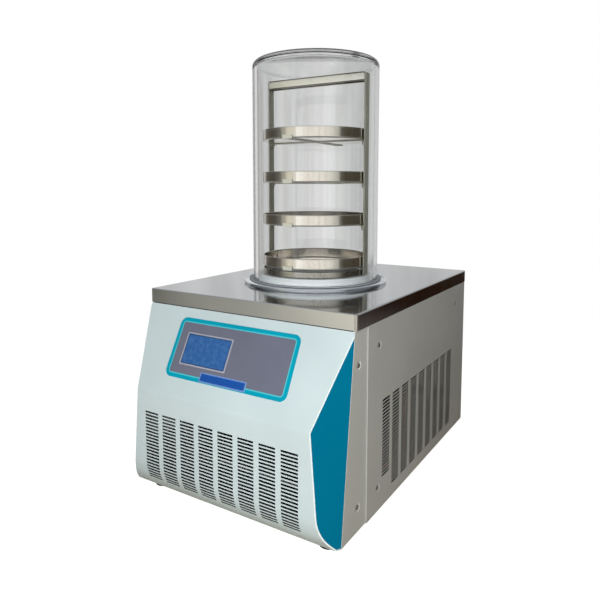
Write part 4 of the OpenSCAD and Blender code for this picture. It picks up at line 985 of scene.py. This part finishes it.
def on_strip(spot):
    """Whether a place on a side lies on its front strip, ahead of the side panel."""
    return spot.y < node_box("right_side_panel")[0].y


def dishes_of(sheet, low, high, side):
    """A matrix for each place on the outside of a side sheet where it is pressed in under a screw."""
    middles = [(a + b) / 2 for a, b in islands("casing_screws")]
    return [
        Matrix.Translation(at(high.x if side > 0 else low.x, spot.y, spot.z))
        @ Matrix.Rotation(side * math.pi / 2, 4, "Y")
        for spot in middles
        if spot.x * side > 0 and spot.y < high.y - REAR_REACH
        and on_strip(spot) == sheet.endswith("strip")
    ]


def make_side(name, side):
    """A side's strip and its vented panel, with painted shade inside the slots and along its front fold."""
    strip = name + "_side_strip"
    places = dishes_of(strip, *node_box(strip), side)
    softened(strip, shape=lambda bm: press(bm, places))

    panel = name + "_side_panel"
    low, high = node_box(panel)
    sunk = dishes_of(panel, low, high, side)
    inset = Vector((-1.0, VENT_INSET, VENT_INSET))
    vents = (low + inset, high - inset, 0)

    def choose(spot, way):
        # the front fold takes the painted shade
        if spot.y < low.y + SIDE_FOLD:
            return 1
        # slot walls take the painted shade
        return 2 if in_vents(vents, spot, way) else 0

    softened(
        panel, 0.4, 1, extra=("fold_painted_shade", "vent_painted_shade"), choose=choose, shape=lambda bm: sink(bm, sunk),
        vents=vents,
    )


def make_front():
    """The front panel, with painted shade inside its slots and a painted highlight along its side edges,
    and a dark strip under the plate's skirt as painted shadow."""
    low, high = node_box("front_panel")
    vents = (
        Vector((-FRONT_VENT_X, low.y - 1.0, low.z + VENT_INSET)),
        Vector((FRONT_VENT_X, high.y, FRONT_VENT_TOP)), 1,
    )

    def choose(spot, way):
        # slot walls take the painted shade
        if in_vents(vents, spot, way):
            return 1
        # the bevels along the side edges take the painted highlight
        on_edge = abs(spot.x) > FRONT_VENT_X and abs(way.x) > 0.2
        return 2 if on_edge and spot.y < 0.0 else 0

    softened("front_panel", 0.5, extra=("vent_painted_shade", "front_edge_painted_highlight"), choose=choose, vents=vents)
    # A thin black strip under the plate's skirt: painted shadow for the shade on the leaning face just
    # below it
    bm = bmesh.new()
    half = high.x - 3.0
    soft_box(bm, (-half, -1.5, -0.1), (half, -0.15, 0.2), FACE, 0.1)
    piece("skirt_painted_shadow", bm, ("black_rubber",), ("front_panel",))


def make_screws():
    """The screws of the sides and the rear, each turned differently, with a shank under its head."""
    bm = bmesh.new()
    rear = node_box("rear_panel")[1].y
    spots = sorted(islands("casing_screws"), key=lambda found: tuple(round(c) for c in found[0]))
    for index, (low, high) in enumerate(spots):
        middle = (low + high) / 2
        radius = (high.z - low.z) / 2
        if middle.y > rear - REAR_REACH:
            spot = Vector((middle.x, high.y - SCREW_SEAT, middle.z))
            turn = Matrix.Rotation(-math.pi / 2, 4, "X")
        else:
            side = 1 if middle.x > 0 else -1
            face = high.x if side > 0 else low.x
            sunk = SCREW_SEAT + (DISH_SEAT if on_strip(middle) else DEEPER)
            spot = Vector((face - side * sunk, middle.y, middle.z))
            turn = Matrix.Rotation(side * math.pi / 2, 4, "Y")
        spin = Matrix.Rotation(index * SCREW_TURN, 4, "Z")
        place = Matrix.Translation(at(*spot)) @ turn
        screw_head(bm, place @ spin, radius, SCREW_HEAD_H)
        tube(bm, [at(*middle), at(*spot)], SHANK_R)
    piece("casing_screw_heads", bm, ("screw_steel",), ("casing_screws",), 30.0)


# ---------------------------------------------------------------------------------------------
# Studio, in metres and in the shared frame
# ---------------------------------------------------------------------------------------------
KEY_PLACE = Vector((0.8, -1.8, 0.8))
KEY_SIZE = 1.0
KEY_POWER = 33.0


def make_key_light():
    """A square soft light that falls on the object without showing in what shines or in the jar."""
    data = bpy.data.lights.new("key", "AREA")
    data.shape = "SQUARE"
    data.size = KEY_SIZE
    data.energy = KEY_POWER
    key = bpy.data.objects.new("key", data)
    key.location = KEY_PLACE
    key.rotation_euler = (at(0, 250, -100) - KEY_PLACE).to_track_quat("-Z", "Y").to_euler()
    key.visible_glossy = False
    key.visible_transmission = False
    bpy.context.scene.collection.objects.link(key)


# The room round the object by compass direction in degrees, 0 along +X and 90 along +Y: dark to the
# right and to the left, pale behind with a narrow dark post, and bright in front.
ROOM = (
    (-180, (0.10, 0.085, 0.07)), (-152, (0.085, 0.08, 0.07)), (-139, (0.17, 0.165, 0.145)),
    (-134, (0.34, 0.33, 0.28)), (-127, (0.54, 0.52, 0.45)), (-118, (0.95, 0.90, 0.74)),
    (-108, (0.92, 0.88, 0.78)), (-90, (1.04, 0.98, 0.92)), (-58, (1.1, 1.05, 1.0)),
    (-27, (0.95, 0.93, 0.86)), (-12, (0.7, 0.7, 0.64)), (-5, (0.085, 0.075, 0.055)),
    (50, (0.07, 0.06, 0.045)), (60, (0.022, 0.009, 0.004)), (76, (0.02, 0.008, 0.003)),
    (83, (0.66, 0.66, 0.66)), (112, (0.60, 0.60, 0.60)), (142, (0.72, 0.72, 0.72)),
    (144, (0.05, 0.05, 0.05)), (149, (0.05, 0.05, 0.05)), (151, (0.76, 0.76, 0.75)),
    (165, (0.74, 0.72, 0.7)), (171, (0.25, 0.24, 0.23)), (180, (0.10, 0.085, 0.07)),
)
ROOM_ABOVE = (0.46, 0.47, 0.49)
ROOM_BELOW = (0.5, 0.5, 0.49)
BACKDROP = (1.0, 1.0, 1.0)
# Window panes of the room: (left, right) in degrees, (low, high) as the height of a direction, glow
WINDOWS = (
    ((-100, -83), (-0.2, 0.14), (1.35, 1.33, 1.29)),
    ((-114, -70), (0.15, 0.3), (1.15, 1.13, 1.1)),
    ((60, 78), (-0.12, 0.3), (0.58, 0.58, 0.57)),
)


class WorldShader(Shader):
    """The same helpers on a world's node tree, where directions stand for places."""

    def __init__(self, name):
        self.world = bpy.data.worlds.new(name)
        self.world.use_nodes = True
        self.tree = self.world.node_tree
        self.background = self.tree.nodes["Background"]
        self.place = self.tree.nodes.new("ShaderNodeTexCoord").outputs["Generated"]

    def within(self, value, low, high, soft):
        """1 where a value lies between two limits, 0 beyond them, with soft edges."""
        both = self.node("ShaderNodeMath", operation="MULTIPLY")
        self.link(self.spread(value, 0.0, 1.0, low - soft, low + soft), both.inputs[0])
        self.link(self.spread(value, 1.0, 0.0, high - soft, high + soft), both.inputs[1])
        return both.outputs["Value"]

    def mix(self, factor, first, second):
        """Mixes two colours; each is a socket or an (r, g, b)."""
        made = self.node("ShaderNodeMix", data_type="RGBA")
        self.link(factor, made.inputs["Factor"])
        for value, socket in ((first, made.inputs[6]), (second, made.inputs[7])):
            if isinstance(value, tuple):
                socket.default_value = (*value, 1.0)
            else:
                self.link(value, socket)
        return made.outputs[2]


def make_world():
    s = WorldShader("studio")
    bpy.context.scene.world = s.world
    parts = s.node("ShaderNodeSeparateXYZ")
    s.link(s.place, parts.inputs["Vector"])
    compass = s.node("ShaderNodeMath", operation="ARCTAN2")
    s.link(parts.outputs["Y"], compass.inputs[0])
    s.link(parts.outputs["X"], compass.inputs[1])
    turn = s.spread(compass.outputs["Value"], 0.0, 1.0, -math.pi, math.pi)
    room = s.colors(turn, *(((angle + 180) / 360, color) for angle, color in ROOM))
    for (left, right), (low, high), glow in WINDOWS:
        pane = s.node("ShaderNodeMath", operation="MULTIPLY")
        wide = s.within(compass.outputs["Value"], math.radians(left), math.radians(right), 0.02)
        s.link(wide, pane.inputs[0])
        s.link(s.within(parts.outputs["Z"], low, high, 0.01), pane.inputs[1])
        room = s.mix(pane.outputs["Value"], room, glow)
    flat_way = s.stretched(1.0, 1.0, 0.0)
    streaks = s.spread(s.noise(9.0, 6.0, flat_way, 0.7), 0.72, 1.28, 0.3, 0.7)
    streaked = s.node("ShaderNodeVectorMath", operation="SCALE")
    s.link(room, streaked.inputs[0])
    s.link(streaks, streaked.inputs["Scale"])
    above = s.spread(parts.outputs["Z"], 0.0, 1.0, 0.3, 0.6)
    below = s.spread(parts.outputs["Z"], 0.0, 1.0, -0.2, -0.45)
    lit = s.mix(below, s.mix(above, streaked.outputs["Vector"], ROOM_ABOVE), ROOM_BELOW)
    seen = s.node("ShaderNodeLightPath").outputs["Is Camera Ray"]
    s.link(s.mix(seen, lit, BACKDROP), s.background.inputs["Color"])


FLOOR_HALF = 0.95


def make_floor():
    """A floor that shows white to the camera and warm in what shines."""
    mesh = bpy.data.meshes.new("floor")
    signs = ((-1, -1), (1, -1), (1, 1), (-1, 1))
    corners = [(x * FLOOR_HALF, y * FLOOR_HALF, 0.0) for x, y in signs]
    mesh.from_pydata(corners, [], [(0, 1, 2, 3)])
    floor = bpy.data.objects.new("floor", mesh)
    white = (1.0, 1.0, 1.0, 1.0)
    s = Shader("floor", (0.50, 0.42, 0.31), 0.8, Emission_Color=white, Specular_IOR_Level=0.1)
    s.set("Roughness", s.spread(s.noise(8.0), 0.75, 0.85))
    seen = s.node("ShaderNodeLightPath").outputs["Is Camera Ray"]
    s.set("Emission Strength", s.spread(seen, 0.0, 1.0))
    mesh.materials.append(s.material)
    bpy.context.scene.collection.objects.link(floor)


def flag(name, corners):
    """A dark card that only takes light away: it shows neither to the camera nor in what shines."""
    mesh = bpy.data.meshes.new(name)
    mesh.from_pydata(corners, [], [(0, 1, 2, 3)])
    card = bpy.data.objects.new(name, mesh)
    s = Shader(name, (0.02, 0.02, 0.02), 0.9)
    s.set("Roughness", s.spread(s.noise(8.0), 0.85, 0.95))
    mesh.materials.append(s.material)
    card.visible_camera = card.visible_glossy = card.visible_transmission = False
    bpy.context.scene.collection.objects.link(card)


def make_studio():
    make_world()
    make_floor()
    flag("overhead_flag", [(-1.6, -1.3, 1.1), (1.6, -1.3, 1.1), (1.6, 1.5, 1.1), (-1.6, 1.5, 1.1)])
    flag("front_flag", [(-2.2, -2.1, 0.0), (2.2, -2.1, 0.0), (2.2, -2.1, 1.6), (-2.2, -2.1, 1.6)])
    flag("right_flag", [(1.0, -0.25, 0.0), (1.0, 1.3, 0.0), (1.0, 1.3, 1.5), (1.0, -0.25, 1.5)])
    flag("left_flag", [(-0.95, 0.3, 0.0), (-0.7, -1.3, 0.0), (-0.7, -1.3, 1.5), (-0.95, 0.3, 1.5)])
    make_key_light()
    bpy.context.scene.view_settings.view_transform = "Standard"


# Nodes that need only rounded edges, with the width of the round
SHELLS = {
    "left_cheek": 0.5, "right_cheek": 0.5,
    "left_top_rail": 0.4, "right_top_rail": 0.4, "rear_panel": 0.35, "base_pan": 0.4,
    "power_inlet": 0.35, "power_outlet": 0.35, "switch_housing": 0.35, "power_rocker": 0.35,
    "vacuum_gauge": 0.4, "drain_valve": 0.4, "drain_lever": 0.4, "terminal_cover": 0.6,
    "compressor_mounts": 0.5, "power_supply": 0.6,
}

make_camera()
dress_nodes()
make_control_panel()
make_top_plate()
make_mouth()
make_jar()
make_trays()
make_rack()
make_feet()
make_screws()
for shell, width in SHELLS.items():
    softened(shell, width)
make_front()
make_side("left", -1)
make_side("right", 1)
make_studio()
